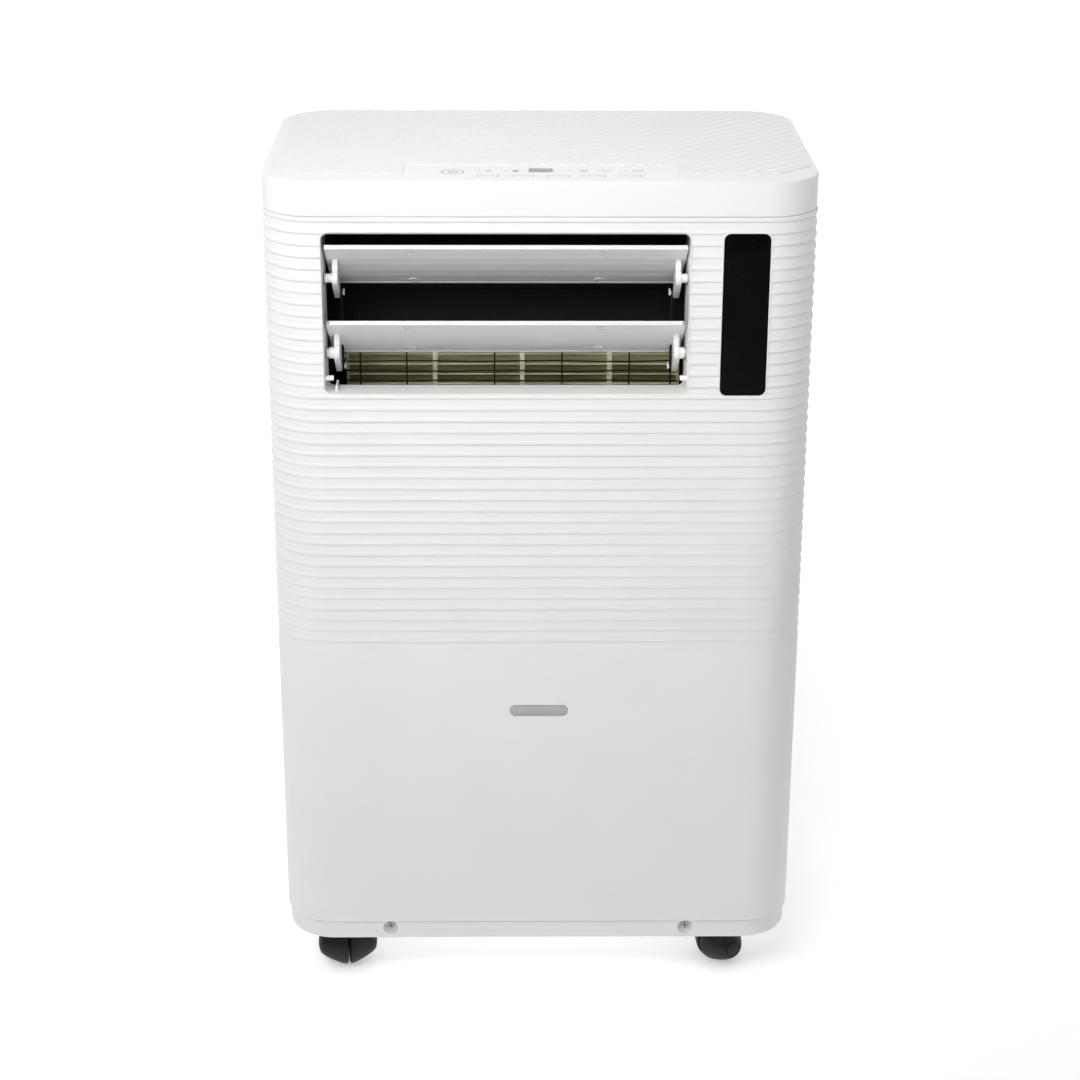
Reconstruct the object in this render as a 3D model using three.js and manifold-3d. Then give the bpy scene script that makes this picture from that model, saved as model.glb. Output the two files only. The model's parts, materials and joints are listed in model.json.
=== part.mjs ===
// Portable air conditioner: a tall white cabinet on four twin-wheel casters, with a two-blade
// louvre in its ribbed front, a crossflow fan and evaporator above, a compressor, blower and
// condenser below, a row of keys on the top cover, and the hose collar and grilles at the rear.
// Millimetres, +Z up, front towards -Y. The origin is on the floor under the middle of the box.
import * as THREE from 'three';
import { mergeVertices } from 'three/addons/utils/BufferGeometryUtils.js';
import Module from 'manifold-3d';

const wasm = await Module();
wasm.setup();

// ---- driving dimensions ----
const WIDTH = 416;          // cap skirt, side to side
const DEPTH = 262;          // cap skirt, front to back
const CORNER = 40;          // plan radius of the four corners
const CORNER_STEPS = 3;     // flats per corner
const RIM_TOP = 683;        // flat rim of the top cover above the floor
const RIDGE = 1;            // the diagonal ridges stand this far above the rim
const PROUD = 0.75;         // rib crests and smooth skin stand this far outside the cap skirt
const WALL = 2.5;           // moulded wall
const GAP = 0.3;            // clearance between pieces that touch
const COLLAR_REACH = 12;    // hose collar behind the rear wall

// Heights below the rim of the top cover.
const SKIRT = 26.4;
const SMOOTH_TOP = 374.2;   // where the ribs end and the smooth lower front begins
const SEAM = 620.4;         // between the cabinet skins and the base pan
const BASE_BOTTOM = 637;

// Horizontal ribs: a narrow raised bead over a hollowed face, repeated down the front and sides.
const RIB = { pitch: 9.13, first: 30.2, count: 38, bead: 2.9, depth: 1.5, undercut: 0.5 };
const PART_LINE = CORNER;   // vertical joint between front panel and rear shell, behind the front
const RIB_END = DEPTH - CORNER;

// Outlet in the front panel, and its two blades.
const OUTLET = { left: -160.6, right: 110.2, top: 41, bottom: 162.7, radius: 3.6, border: 1.2, deep: 26, draft: 1 };
const BLADE = {
  pivotY: 13.75,            // pivot axis behind the front skirt plane
  pivots: [76.55, 134.75],  // pivot axes below the rim
  heights: [61, 57.3],
  toBottom: 27,             // pivot to the blade's lower edge when shut
  toFace: 14.5,             // pivot to the blade's outer face
  plate: 2.5,
  lip: 4.5,
  left: -159.6,
  right: 109.2,
  taper: 2,
  open: 130,                // degrees from shut to the rest pose
};
const PIVOT_PIN = 3.5;
const ARM = { left: -155.8, right: 105.4, thick: 4.3, crank: 26.3, tip: 4, hub: 5.5 };
const LINK_PIN = 1.5;
const LINK = { thick: 1.3, width: 6 };

const WINDOW = { left: 136.6, right: 170.3, top: 39.8, bottom: 164.2, radius: 5, border: 2.2 };

// Crossflow fan behind the outlet.
const FAN = { y: 134, below: 175, radius: 47, left: -151, right: 110, discs: [-151, -82, -13, 56, 110], blades: 10 };
// Blower and hose outlet in the lower half.
const BLOWER = { x: 70, z: 175, radius: 62, blades: 12 };
const HOSE = { x: 100, z: 328, inner: 61, outer: 65, flange: 74 };

const CASTER = { x: 162, inset: 51.5, trail: 9, wheel: 19, half: 25, slot: 1.8, axle: 3, sides: 16 };

const KEY = { first: -39.5, pitch: 26.45, y: 18.8, width: 17.4, length: 8, travel: 0.6 };
const POWER_KEY = { x: -65.5, y: 31.5, radius: 8.5 };
const DISPLAY = { left: -8.8, right: 9.2, front: 31, back: 44 };
const RIDGE_FIELD = { side: 4, front: 22.9, back: 4, radius: 36, pitch: 14.46, chamfer: 27.8 };
const KEY_STRIP = { half: 101.5, back: 53.5 };
const COVER_PLATE = 3;
const BOARD = { top: 7.4, thick: 1.6 };       // key board under the top cover

const SCREW = { x: 121.8, below: 626.5, pocket: 6, deep: 7, head: 3.6 };
const BADGE = { half: 23, tall: 9, below: 427.5, deep: 1 };
const HANDLE = { front: 90, back: 170, below: 85, tall: 35, deep: 24 };
const INTAKE = { half: 150, top: 62, bottom: 276, thick: 4 };   // hinged rear grille
const VENT = { left: -120, right: 190, low: 84, high: 256 };    // lower rear grille
const DRAINS = { x: -165, middle: 404, bottom: 76, bore: 4.8, cap: 8 };
const GLAND = { x: -165, z: 112, flange: 10, body: 6, bore: 3.6 };
const TRAY = { low: 398, high: 414 };

const below = (mm) => RIM_TOP - mm;

// ---- looks: colour, roughness, metalness ----
const LOOKS = {
  white: [0xe9eae8, 0.42, 0],
  cover: [0xeceeec, 0.38, 0],
  pale: [0xdcddda, 0.5, 0],
  black: [0x0d0d0e, 0.6, 0],
  gloss: [0x050506, 0.12, 0],
  grey: [0x9a9a94, 0.35, 0],
  olive: [0x5f5c3c, 0.55, 0],
  foil: [0xb9bcbd, 0.35, 0.9],
  copper: [0xb06a3c, 0.3, 1],
  steel: [0xa9abad, 0.35, 1],
  enamel: [0x1b1c1e, 0.35, 0.1],
  rubber: [0x1a1a1a, 0.9, 0],
  board: [0x1f5a34, 0.5, 0],
  mesh: [0x2b2d30, 0.8, 0],
};

// ---- solids ----
const X = new THREE.Vector3(1, 0, 0);
const Y = new THREE.Vector3(0, 1, 0);
const Z = new THREE.Vector3(0, 0, 1);
// An outline drawn in (a, b) is swept along the named axis: x sweeps (y, z), y sweeps (x, z), z sweeps (x, y).
const SWEEP = {
  x: new THREE.Matrix4().makeBasis(Y, Z, X),
  y: new THREE.Matrix4().makeBasis(X, Z, Y.clone().negate()),
  z: new THREE.Matrix4(),
};
// A turned profile drawn in (radius, height) has its height along the named axis.
const TURN = {
  x: new THREE.Matrix4().makeBasis(Y, X, Z.clone().negate()),
  y: new THREE.Matrix4(),
  z: new THREE.Matrix4().makeBasis(X, Z, Y.clone().negate()),
};

function toSolid(geometry) {
  const bare = new THREE.BufferGeometry();
  bare.setAttribute('position', geometry.getAttribute('position'));
  if (geometry.index) bare.setIndex(geometry.index);
  const merged = mergeVertices(bare, 1e-4);
  const triangles = [];
  const index = merged.index.array;
  for (let i = 0; i < index.length; i += 3) {
    const [a, b, c] = [index[i], index[i + 1], index[i + 2]];
    if (a !== b && b !== c && c !== a) triangles.push(a, b, c);
  }
  const build = (triVerts) => new wasm.Manifold(new wasm.Mesh({
    numProp: 3,
    vertProperties: merged.getAttribute('position').array,
    triVerts: new Uint32Array(triVerts),
  }));
  const solid = build(triangles);
  return solid.volume() > 0 ? solid : build(triangles.reverse());
}

function toGeometry(solid) {
  const mesh = solid.getMesh();
  const geometry = new THREE.BufferGeometry();
  geometry.setAttribute('position', new THREE.BufferAttribute(mesh.vertProperties, 3));
  geometry.setIndex(new THREE.BufferAttribute(mesh.triVerts, 1));
  const faceted = geometry.toNonIndexed();
  faceted.computeVertexNormals();
  return faceted;
}

const join = (first, ...others) => others.reduce((sum, other) => sum.add(other), first);
const cut = (first, ...tools) => tools.reduce((rest, tool) => rest.subtract(tool), first);

function block([x0, x1], [y0, y1], [z0, z1]) {
  const box = new THREE.BoxGeometry(x1 - x0, y1 - y0, z1 - z0);
  return toSolid(box.translate((x0 + x1) / 2, (y0 + y1) / 2, (z0 + z1) / 2));
}

function prism(axis, shape, from, to, curveSegments = 3) {
  const geometry = new THREE.ExtrudeGeometry(shape, { depth: to - from, bevelEnabled: false, curveSegments });
  geometry.applyMatrix4(SWEEP[axis]);
  const start = { x: [from, 0, 0], y: [0, to, 0], z: [0, 0, from] }[axis];
  return toSolid(geometry.translate(...start));
}

// Turned solid: profile points are [radius, position along the axis], centre is the other two coordinates.
function turned(axis, profile, centre, sides = 20) {
  const points = profile.map(([radius, along]) => new THREE.Vector2(radius, along));
  const geometry = new THREE.LatheGeometry(points, sides).applyMatrix4(TURN[axis]);
  const [a, b] = centre;
  const place = { x: [0, a, b], y: [a, 0, b], z: [a, b, 0] }[axis];
  return toSolid(geometry.translate(...place));
}

const rod = (axis, radius, from, to, centre, sides = 16) =>
  turned(axis, [[0, from], [radius, from], [radius, to], [0, to]], centre, sides);
const ring = (axis, inner, outer, from, to, centre, sides = 24) =>
  turned(axis, [[inner, from], [outer, from], [outer, to], [inner, to], [inner, from]], centre, sides);

// Tube with closed ends along a smooth run through a few points.
function pipe(points, radius, steps, sides = 6) {
  const run = new THREE.CatmullRomCurve3(points.map((p) => new THREE.Vector3(...p)), false, 'centripetal');
  const section = new THREE.Shape();
  for (let i = 0; i < sides; i += 1) {
    const turn = (i / sides) * 2 * Math.PI;
    if (i === 0) section.moveTo(radius * Math.cos(turn), radius * Math.sin(turn));
    else section.lineTo(radius * Math.cos(turn), radius * Math.sin(turn));
  }
  return toSolid(new THREE.ExtrudeGeometry(section, { steps, extrudePath: run, bevelEnabled: false }));
}

function polygon(points) {
  return new THREE.Shape(points.map(([a, b]) => new THREE.Vector2(a, b)));
}

function roundedRect(a0, a1, b0, b1, radius) {
  const shape = new THREE.Shape();
  shape.moveTo(a0 + radius, b0);
  shape.lineTo(a1 - radius, b0);
  shape.absarc(a1 - radius, b0 + radius, radius, -Math.PI / 2, 0);
  shape.lineTo(a1, b1 - radius);
  shape.absarc(a1 - radius, b1 - radius, radius, 0, Math.PI / 2);
  shape.lineTo(a0 + radius, b1);
  shape.absarc(a0 + radius, b1 - radius, radius, Math.PI / 2, Math.PI);
  shape.lineTo(a0, b0 + radius);
  shape.absarc(a0 + radius, b0 + radius, radius, Math.PI, 1.5 * Math.PI);
  return shape;
}

// Plan outline of the cabinet, moved inwards by inset.
function planPoints(inset) {
  const radius = CORNER - inset;
  const points = [];
  for (let corner = 0; corner < 4; corner += 1) {
    const cx = corner === 0 || corner === 3 ? WIDTH / 2 - CORNER : CORNER - WIDTH / 2;
    const cy = corner < 2 ? DEPTH - CORNER : CORNER;
    for (let step = 0; step <= CORNER_STEPS; step += 1) {
      const turn = (corner + step / CORNER_STEPS) * (Math.PI / 2);
      points.push([cx + radius * Math.cos(turn), cy + radius * Math.sin(turn)]);
    }
  }
  return points;
}

const planOutline = (inset) => polygon(planPoints(inset));

// Solid through stacked plan outlines, from [inset, height] pairs, lowest first.
function planStack(levels) {
  const layers = levels.map(([inset, z]) => planPoints(inset).map(([x, y]) => [x, y, z]));
  const count = layers[0].length;
  const index = [];
  for (let k = 0; k + 1 < layers.length; k += 1) {
    for (let i = 0; i < count; i += 1) {
      const [a, b] = [k * count + i, k * count + ((i + 1) % count)];
      index.push(a, b, b + count, a, b + count, a + count);
    }
  }
  const caps = THREE.ShapeUtils.triangulateShape(layers[0].map(([x, y]) => new THREE.Vector2(x, y)), []);
  const last = (layers.length - 1) * count;
  for (const [a, b, c] of caps) index.push(c, b, a, last + a, last + b, last + c);
  const geometry = new THREE.BufferGeometry();
  geometry.setAttribute('position', new THREE.Float32BufferAttribute(layers.flat(2), 3));
  geometry.setIndex(index);
  return toSolid(geometry);
}

// Moulded skin that follows a plan path: profile rows are [offset outside the skirt, height], top down.
function wrapSkin(path, profile) {
  const rows = profile.length;
  const last = rows - 1;
  const positions = [];
  const index = [];
  for (const { x, y, nx, ny } of path) {
    for (const [offset, z] of profile) positions.push(x + nx * offset, y + ny * offset, z);
  }
  for (const { x, y, nx, ny } of path) {
    for (const row of [0, last]) positions.push(x - nx * WALL, y - ny * WALL, profile[row][1]);
  }
  const outer = (i, j) => i * rows + j;
  const inTop = (i) => path.length * rows + 2 * i;
  const inLow = (i) => inTop(i) + 1;
  const quad = (a, b, c, d) => index.push(a, b, c, a, c, d);
  for (let i = 0; i + 1 < path.length; i += 1) {
    for (let j = 0; j < last; j += 1) quad(outer(i, j), outer(i + 1, j), outer(i + 1, j + 1), outer(i, j + 1));
    quad(inTop(i), inLow(i), inLow(i + 1), inTop(i + 1));
    quad(outer(i + 1, 0), outer(i, 0), inTop(i), inTop(i + 1));
    quad(outer(i, last), outer(i + 1, last), inLow(i + 1), inLow(i));
  }
  const contour = [...profile, [-WALL, profile[last][1]], [-WALL, profile[0][1]]];
  const faces = THREE.ShapeUtils.triangulateShape(contour.map(([o, z]) => new THREE.Vector2(-o, z)), []);
  const capPoint = (i, k) => (k < rows ? outer(i, k) : k === rows ? inLow(i) : inTop(i));
  const end = path.length - 1;
  for (const [a, b, c] of faces) {
    index.push(capPoint(0, a), capPoint(0, b), capPoint(0, c));
    index.push(capPoint(end, c), capPoint(end, b), capPoint(end, a));
  }
  const geometry = new THREE.BufferGeometry();
  geometry.setAttribute('position', new THREE.Float32BufferAttribute(positions, 3));
  geometry.setIndex(index);
  return toSolid(geometry);
}

// Path round one end of the cabinet, from the right side to the left, with outward normals.
function endPath(front, sideY) {
  const path = [];
  const toEnd = front ? -1 : 1;
  const centreY = front ? CORNER : DEPTH - CORNER;
  const arc = (cx, from, to) => {
    for (let i = 0; i <= CORNER_STEPS; i += 1) {
      const turn = from + ((to - from) * i) / CORNER_STEPS;
      const [nx, ny] = [Math.cos(turn), toEnd * Math.sin(turn)];
      path.push({ x: cx + CORNER * nx, y: centreY + CORNER * ny, nx, ny });
    }
  };
  const straight = sideY !== centreY;
  if (straight) path.push({ x: WIDTH / 2, y: sideY, nx: 1, ny: 0 });
  arc(WIDTH / 2 - CORNER, 0, Math.PI / 2);
  arc(-WIDTH / 2 + CORNER, Math.PI / 2, Math.PI);
  if (straight) path.push({ x: -WIDTH / 2, y: sideY, nx: -1, ny: 0 });
  return path;
}

// ---- scene graph ----
const airConditioner = new THREE.Group();
// The inner group is drawn from the front skirt plane; this move centres its box over the origin.
const cabinet = new THREE.Group();
cabinet.position.y = -(DEPTH + COLLAR_REACH - PROUD) / 2;
airConditioner.add(cabinet);

function add(name, solid, look, parent = cabinet) {
  const [color, roughness, metalness] = LOOKS[look];
  const mesh = new THREE.Mesh(toGeometry(solid), new THREE.MeshStandardMaterial({ color, roughness, metalness }));
  mesh.name = name;
  parent.add(mesh);
  return mesh;
}

// ---- skins ----
function ribRows() {
  const rows = [[PROUD, below(SKIRT + GAP)]];
  for (let k = 0; k < RIB.count; k += 1) {
    const groove = RIB.first + k * RIB.pitch;
    const next = k + 1 < RIB.count ? groove + RIB.pitch - RIB.bead : SMOOTH_TOP;
    rows.push([PROUD, below(groove)]);
    rows.push([PROUD - RIB.depth, below(groove + RIB.undercut)]);
    rows.push([PROUD, below(next)]);
  }
  return rows;
}

const rectXZ = (o, grow = 0) =>
  roundedRect(o.left - grow, o.right + grow, below(o.bottom) - grow, below(o.top) + grow, o.radius + grow);

// Outside of the outlet sleeve less its narrowing bore; the top stays open over the blades' sweep.
function outletSleeve() {
  const inTop = OUTLET.top + 5;
  return cut(
    prism('y', rectXZ(OUTLET, 2), 0, OUTLET.deep, 2),
    block([OUTLET.left - 9, OUTLET.right + 9], [WALL, OUTLET.deep + 9], [below(inTop), below(OUTLET.top - 9)]),
  );
}

function outletBore() {
  const plan = polygon([
    [OUTLET.left, -2], [OUTLET.right, -2], [OUTLET.right, 0],
    [OUTLET.right - OUTLET.draft, OUTLET.deep + 1], [OUTLET.left + OUTLET.draft, OUTLET.deep + 1],
    [OUTLET.left, 0],
  ]);
  return prism('z', plan, below(OUTLET.bottom), below(OUTLET.top))
    .intersect(prism('y', rectXZ(OUTLET), -3, OUTLET.deep + 2, 2));
}

function frontPanel() {
  const rows = [...ribRows(), [PROUD, below(SEAM - GAP)]];
  const borders = [
    prism('y', rectXZ(OUTLET, OUTLET.border), -PROUD, WALL, 2),
    prism('y', rectXZ(WINDOW, WINDOW.border), -PROUD, WALL, 2),
  ];
  const skin = join(wrapSkin(endPath(true, PART_LINE), rows), ...borders, outletSleeve());
  const sillRib = block([-155.2, -153.4], [7, 22], [below(OUTLET.bottom + 1), below(OUTLET.bottom - 4)]);
  const stops = [[-161.4, -156.2], [105.8, 111]].map((span) => rod('x', 2, ...span, [7, below(152.6)], 8));
  const pinHoles = BLADE.pivots.map((drop) =>
    rod('x', PIVOT_PIN + 0.15, -170, 120, [BLADE.pivotY, below(drop)]));
  const badgePocket = roundedRect(
    -BADGE.half - GAP, BADGE.half + GAP,
    below(BADGE.below) - BADGE.tall / 2 - GAP, below(BADGE.below) + BADGE.tall / 2 + GAP, BADGE.tall / 2 + GAP / 2,
  );
  const screwPockets = [-1, 1].map((side) =>
    rod('y', SCREW.pocket, -2, SCREW.deep, [side * SCREW.x, below(SCREW.below)]));
  return cut(
    join(cut(skin, outletBore(), ...pinHoles), ...stops, sillRib),
    prism('y', rectXZ(WINDOW, GAP), -5, 10, 2),
    prism('y', badgePocket, -2, BADGE.deep - PROUD, 4),
    ...screwPockets,
  );
}

// Grooves down one straight side of the rear shell, as one toothed cutter.
function sideGrooves(side) {
  const face = side * (WIDTH / 2 + PROUD);
  const slope = RIB.depth / (RIB.pitch - RIB.bead - RIB.undercut);
  const outline = [[face + side * 4, below(0)], [face + side * 0.5, below(0)]];
  for (let k = 0; k < RIB.count; k += 1) {
    const groove = RIB.first + k * RIB.pitch;
    const next = k + 1 < RIB.count ? groove + RIB.pitch - RIB.bead : SMOOTH_TOP;
    outline.push([face + side * 0.5, below(groove)]);
    outline.push([face - side * RIB.depth, below(groove + RIB.undercut)]);
    outline.push([face + side * 0.5, below(next + 0.5 / slope)]);
  }
  outline.push([face + side * 4, below(SMOOTH_TOP + 4)]);
  return prism('y', polygon(outline), PART_LINE - 1, RIB_END);
}

function rearShell() {
  const rows = [[PROUD, below(SKIRT + GAP)], [PROUD, below(SEAM - GAP)]];
  const backWall = [DEPTH - WALL - 1, DEPTH + 3];
  const through = (radius, x, z) => rod('y', radius, ...backWall, [x, z], 24);
  const handleHoles = [-1, 1].map((side) => block(
    [side * WIDTH / 2 - 6, side * WIDTH / 2 + 6], [HANDLE.front, HANDLE.back],
    [below(HANDLE.below + HANDLE.tall), below(HANDLE.below)],
  ));
  return cut(
    wrapSkin(endPath(false, PART_LINE + GAP), rows),
    sideGrooves(1),
    sideGrooves(-1),
    ...handleHoles,
    block([-INTAKE.half - 1, INTAKE.half + 1], backWall, [below(INTAKE.bottom) - 1, below(INTAKE.top) + 1]),
    block([VENT.left - GAP, VENT.right + GAP], backWall, [VENT.low - GAP, VENT.high + GAP]),
    through(HOSE.outer + GAP, HOSE.x, HOSE.z),
    through(DRAINS.bore + 0.2, DRAINS.x, DRAINS.middle),
    through(DRAINS.bore + 0.2, DRAINS.x, DRAINS.bottom),
    through(GLAND.body + GAP, GLAND.x, GLAND.z),
  );
}

// Wave board for the diagonal ridges, clipped to the field on the cover. The
// field's front right corner is cut off along a ridge.
function ridgeField() {
  const reach = WIDTH;
  const wave = [[-reach, -COVER_PLATE / 2]];
  for (let a = -reach; a <= reach; a += RIDGE_FIELD.pitch) {
    wave.push([a, -0.4], [a + RIDGE_FIELD.pitch / 2, RIDGE]);
  }
  wave.push([wave.at(-1)[0], -COVER_PLATE / 2]);
  const section = polygon(wave.map(([a, height]) => [a, RIM_TOP + height]));
  const board = toGeometry(prism('y', section, -WIDTH, WIDTH));
  const diagonal = new THREE.Matrix4().set(1, 1, 0, 0, 0, 1, 0, 0, 0, 0, 1, 0, 0, 0, 0, 1);
  const edge = WIDTH / 2 - RIDGE_FIELD.side;
  const field = roundedRect(-edge, edge, RIDGE_FIELD.front, DEPTH - RIDGE_FIELD.back, RIDGE_FIELD.radius);
  const strip = block(
    [-KEY_STRIP.half, KEY_STRIP.half], [0, KEY_STRIP.back], [RIM_TOP - 5, RIM_TOP + 5]);
  const front = RIDGE_FIELD.front - 1;
  const rightCorner = prism('z', polygon([
    [edge - RIDGE_FIELD.chamfer - 1, front], [edge + 1, front], [edge + 1, front + RIDGE_FIELD.chamfer + 2],
  ]), RIM_TOP - 5, RIM_TOP + 5);
  const ridges = toSolid(board.applyMatrix4(diagonal)).intersect(prism('z', field, RIM_TOP - 1, RIM_TOP + 5, 4));
  return cut(ridges, strip, rightCorner);
}

const keyCentres = Array.from({ length: 5 }, (_, i) => KEY.first + i * KEY.pitch);
const keyBlock = (x, grow, from, to) => block(
  [x - KEY.width / 2 - grow, x + KEY.width / 2 + grow],
  [KEY.y - KEY.length / 2 - grow, KEY.y + KEY.length / 2 + grow],
  [RIM_TOP - from, RIM_TOP - to],
);
const displayBlock = (grow, from, to) => block(
  [DISPLAY.left - grow, DISPLAY.right + grow], [DISPLAY.front - grow, DISPLAY.back + grow],
  [RIM_TOP - from, RIM_TOP - to],
);
const powerRod = (grow, from, to) =>
  rod('z', POWER_KEY.radius + grow, RIM_TOP - from, RIM_TOP - to, [POWER_KEY.x, POWER_KEY.y], 24);

function topCover() {
  const edge = 1.6;
  const shell = cut(
    planStack([[0, below(SKIRT)], [0, RIM_TOP - edge], [edge * 0.3, RIM_TOP - edge * 0.3], [edge, RIM_TOP]]),
    prism('z', planOutline(WALL), below(SKIRT + 1), RIM_TOP - COVER_PLATE),
  );
  return cut(
    join(shell, ridgeField()),
    ...keyCentres.map((x) => keyBlock(x, GAP, 9, -2)),
    displayBlock(GAP, 9, -2),
    powerRod(GAP, 9, -2),
  );
}

function topParts() {
  const names = ['speed_key', 'mode_key', 'timer_key', 'cooler_key', 'warmer_key'];
  const flange = COVER_PLATE + GAP;
  names.forEach((name, i) => {
    const x = keyCentres[i];
    add(name, join(keyBlock(x, 0, flange + 1, 0), keyBlock(x, 1.2, flange + 1, flange)), 'cover');
  });
  add('power_key', join(powerRod(0, flange + 1, 0), powerRod(1.2, flange + 1, flange)), 'cover');
  add('display_lens', join(displayBlock(0, flange + 1, 0.1), displayBlock(1.5, flange + 1, flange)), 'grey');
  const switches = keyCentres.map((x) =>
    block([x - 3, x + 3], [KEY.y - 3, KEY.y + 3], [RIM_TOP - BOARD.top, RIM_TOP - flange - 1 - KEY.travel - GAP]));
  const powerSwitch = rod('z', 3, RIM_TOP - BOARD.top, RIM_TOP - flange - 1 - KEY.travel - GAP,
    [POWER_KEY.x, POWER_KEY.y], 8);
  const plate = block([-95, 95], [8, 50], [RIM_TOP - BOARD.top - BOARD.thick, RIM_TOP - BOARD.top]);
  add('key_board', join(plate, ...switches, powerSwitch), 'board');
}

function basePan() {
  const [low, high] = [below(BASE_BOTTOM), below(SEAM)];
  const floor = 3;
  const pan = cut(
    planStack([[4, low], [1.2, low + 1.2], [0, low + 4], [0, high]]),
    prism('z', planOutline(3), low + floor, high + 1),
  );
  const bosses = [-1, 1].map((side) => block(
    [side * SCREW.x - 9, side * SCREW.x + 9], [1, 16], [low + 1, high]));
  const sockets = casterSpots().map(({ x, y }) => rod('z', 9, low + 1, high, [x, y], 12));
  const stemHoles = casterSpots().map(({ x, y }) => rod('z', 4.3, low - 1, high - 1.5, [x, y], 12));
  const pockets = [-1, 1].map((side) =>
    rod('y', SCREW.pocket, -2, SCREW.deep, [side * SCREW.x, below(SCREW.below)]));
  const screwHoles = [-1, 1].map((side) =>
    rod('y', 2 + 0.15, 0, 14, [side * SCREW.x, below(SCREW.below)], 8));
  return cut(join(pan, ...bosses, ...sockets), ...stemHoles, ...pockets, ...screwHoles);
}

// Pan-head screw lying along Y with a crossed recess in its head.
function baseScrew(x) {
  const z = below(SCREW.below);
  const headFront = SCREW.deep - 0.3 - 2.4;
  const head = turned('y', [
    [0, headFront], [2.2, headFront + 0.2], [SCREW.head, headFront + 1.2],
    [SCREW.head, headFront + 2.4], [2, headFront + 2.4], [2, 13.5], [0, 13.5],
  ], [x, z], 12);
  const slots = [[1.9, 0.4], [0.4, 1.9]].map(([dx, dz]) =>
    block([x - dx, x + dx], [headFront - 1, headFront + 1.3], [z - dz, z + dz]));
  return cut(head, ...slots);
}

// ---- outlet ----
// A blade is drawn shut, around its own pivot axis: y from the pivot to the rear, z up.
function blade(index) {
  const top = BLADE.heights[index] - BLADE.toBottom;
  const face = -BLADE.toFace;
  const inner = face + BLADE.plate;
  const section = polygon([
    [face, -BLADE.toBottom], [face + BLADE.lip, -BLADE.toBottom], [face + BLADE.lip, -BLADE.toBottom + 2],
    [inner, -BLADE.toBottom + 2.8], [inner, top - 2], [inner + 0.6, top], [face, top],
  ]);
  const plan = polygon([
    [BLADE.left, -BLADE.toBottom - 1], [BLADE.right, -BLADE.toBottom - 1],
    [BLADE.right - BLADE.taper, top + 1], [BLADE.left + BLADE.taper, top + 1],
  ]);
  const plate = prism('x', section, BLADE.left, BLADE.right).intersect(prism('y', plan, face - 1, 0));
  const armShape = new THREE.Shape();
  armShape.moveTo(inner - 0.5, -8);
  armShape.lineTo(-4, -ARM.hub);
  armShape.absarc(0, 0, ARM.hub, -2.3, 0.2);
  armShape.absarc(0, ARM.crank, ARM.tip, 0, Math.PI);
  armShape.lineTo(inner - 0.5, 12);
  const ends = [
    { span: [ARM.left, ARM.left + ARM.thick], pin: [BLADE.left - 2.2, ARM.left + 1], hook: [0, 3.2] },
    { span: [ARM.right - ARM.thick, ARM.right], pin: [ARM.right - 1, BLADE.right + 2.2], hook: [-3.2, 0] },
  ];
  const pieces = ends.flatMap(({ span, pin, hook }, side) => {
    const inside = side === 0 ? span[1] : span[0];
    const hookEnd = side === 0 ? [inside + 2.4, inside + 3.4] : [inside - 3.4, inside - 2.4];
    return [
      prism('x', armShape, ...span, 4),
      rod('x', PIVOT_PIN, ...pin, [0, 0], 14),
      rod('x', LINK_PIN, inside - 1 + Math.min(hook[0], 0), inside + 1 + Math.max(hook[1], 0), [0, ARM.crank], 10),
      rod('x', LINK_PIN + 1, ...hookEnd, [0, ARM.crank], 10),
    ];
  });
  const slots = index === 0 ? [] : ends.map(({ span }, side) => {
    const near = side === 0 ? span[1] + 0.25 : span[0] - 0.25;
    const far = side === 0 ? near + 2.2 : near - 2.2;
    return block([Math.min(near, far), Math.max(near, far)], [face - 1, face + 4], [9, top + 1]);
  });
  return cut(join(plate, ...pieces), ...slots);
}

function linkBar(side) {
  const inside = side < 0 ? ARM.left + ARM.thick + 0.4 : ARM.right - ARM.thick - 0.4 - LINK.thick;
  const span = [inside, inside + LINK.thick];
  const pitch = BLADE.pivots[1] - BLADE.pivots[0];
  const bar = new THREE.Shape();
  bar.absarc(0, -pitch, LINK.width / 2, Math.PI, 2 * Math.PI);
  bar.absarc(0, 0, LINK.width / 2, 0, Math.PI);
  return cut(
    prism('x', bar, ...span, 4),
    rod('x', LINK_PIN + 0.2, span[0] - 1, span[1] + 1, [0, 0], 10),
    rod('x', LINK_PIN + 0.4, span[0] - 1, span[1] + 1, [0, -pitch], 10),
  );
}

const openTurn = THREE.MathUtils.degToRad(-BLADE.open);

function outletParts() {
  const names = ['louvre_upper', 'louvre_lower'];
  BLADE.pivots.forEach((drop, i) => {
    const swing = new THREE.Group();
    swing.position.set(0, BLADE.pivotY, below(drop));
    swing.rotation.x = openTurn;
    cabinet.add(swing);
    add(names[i], blade(i), 'white', swing);
  });
  const crankPin = new THREE.Vector3(0, 0, ARM.crank).applyAxisAngle(X, openTurn);
  for (const [name, side] of [['link_bar_left', -1], ['link_bar_right', 1]]) {
    const bar = add(name, linkBar(side), 'black');
    bar.position.set(0, BLADE.pivotY + crankPin.y, below(BLADE.pivots[0]) + crankPin.z);
  }
  add('outlet_duct', outletDuct(), 'black');
  add('outlet_grille', outletGrille(), 'black');
  add('louvre_motor', louvreMotor(), 'pale');
}

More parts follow.
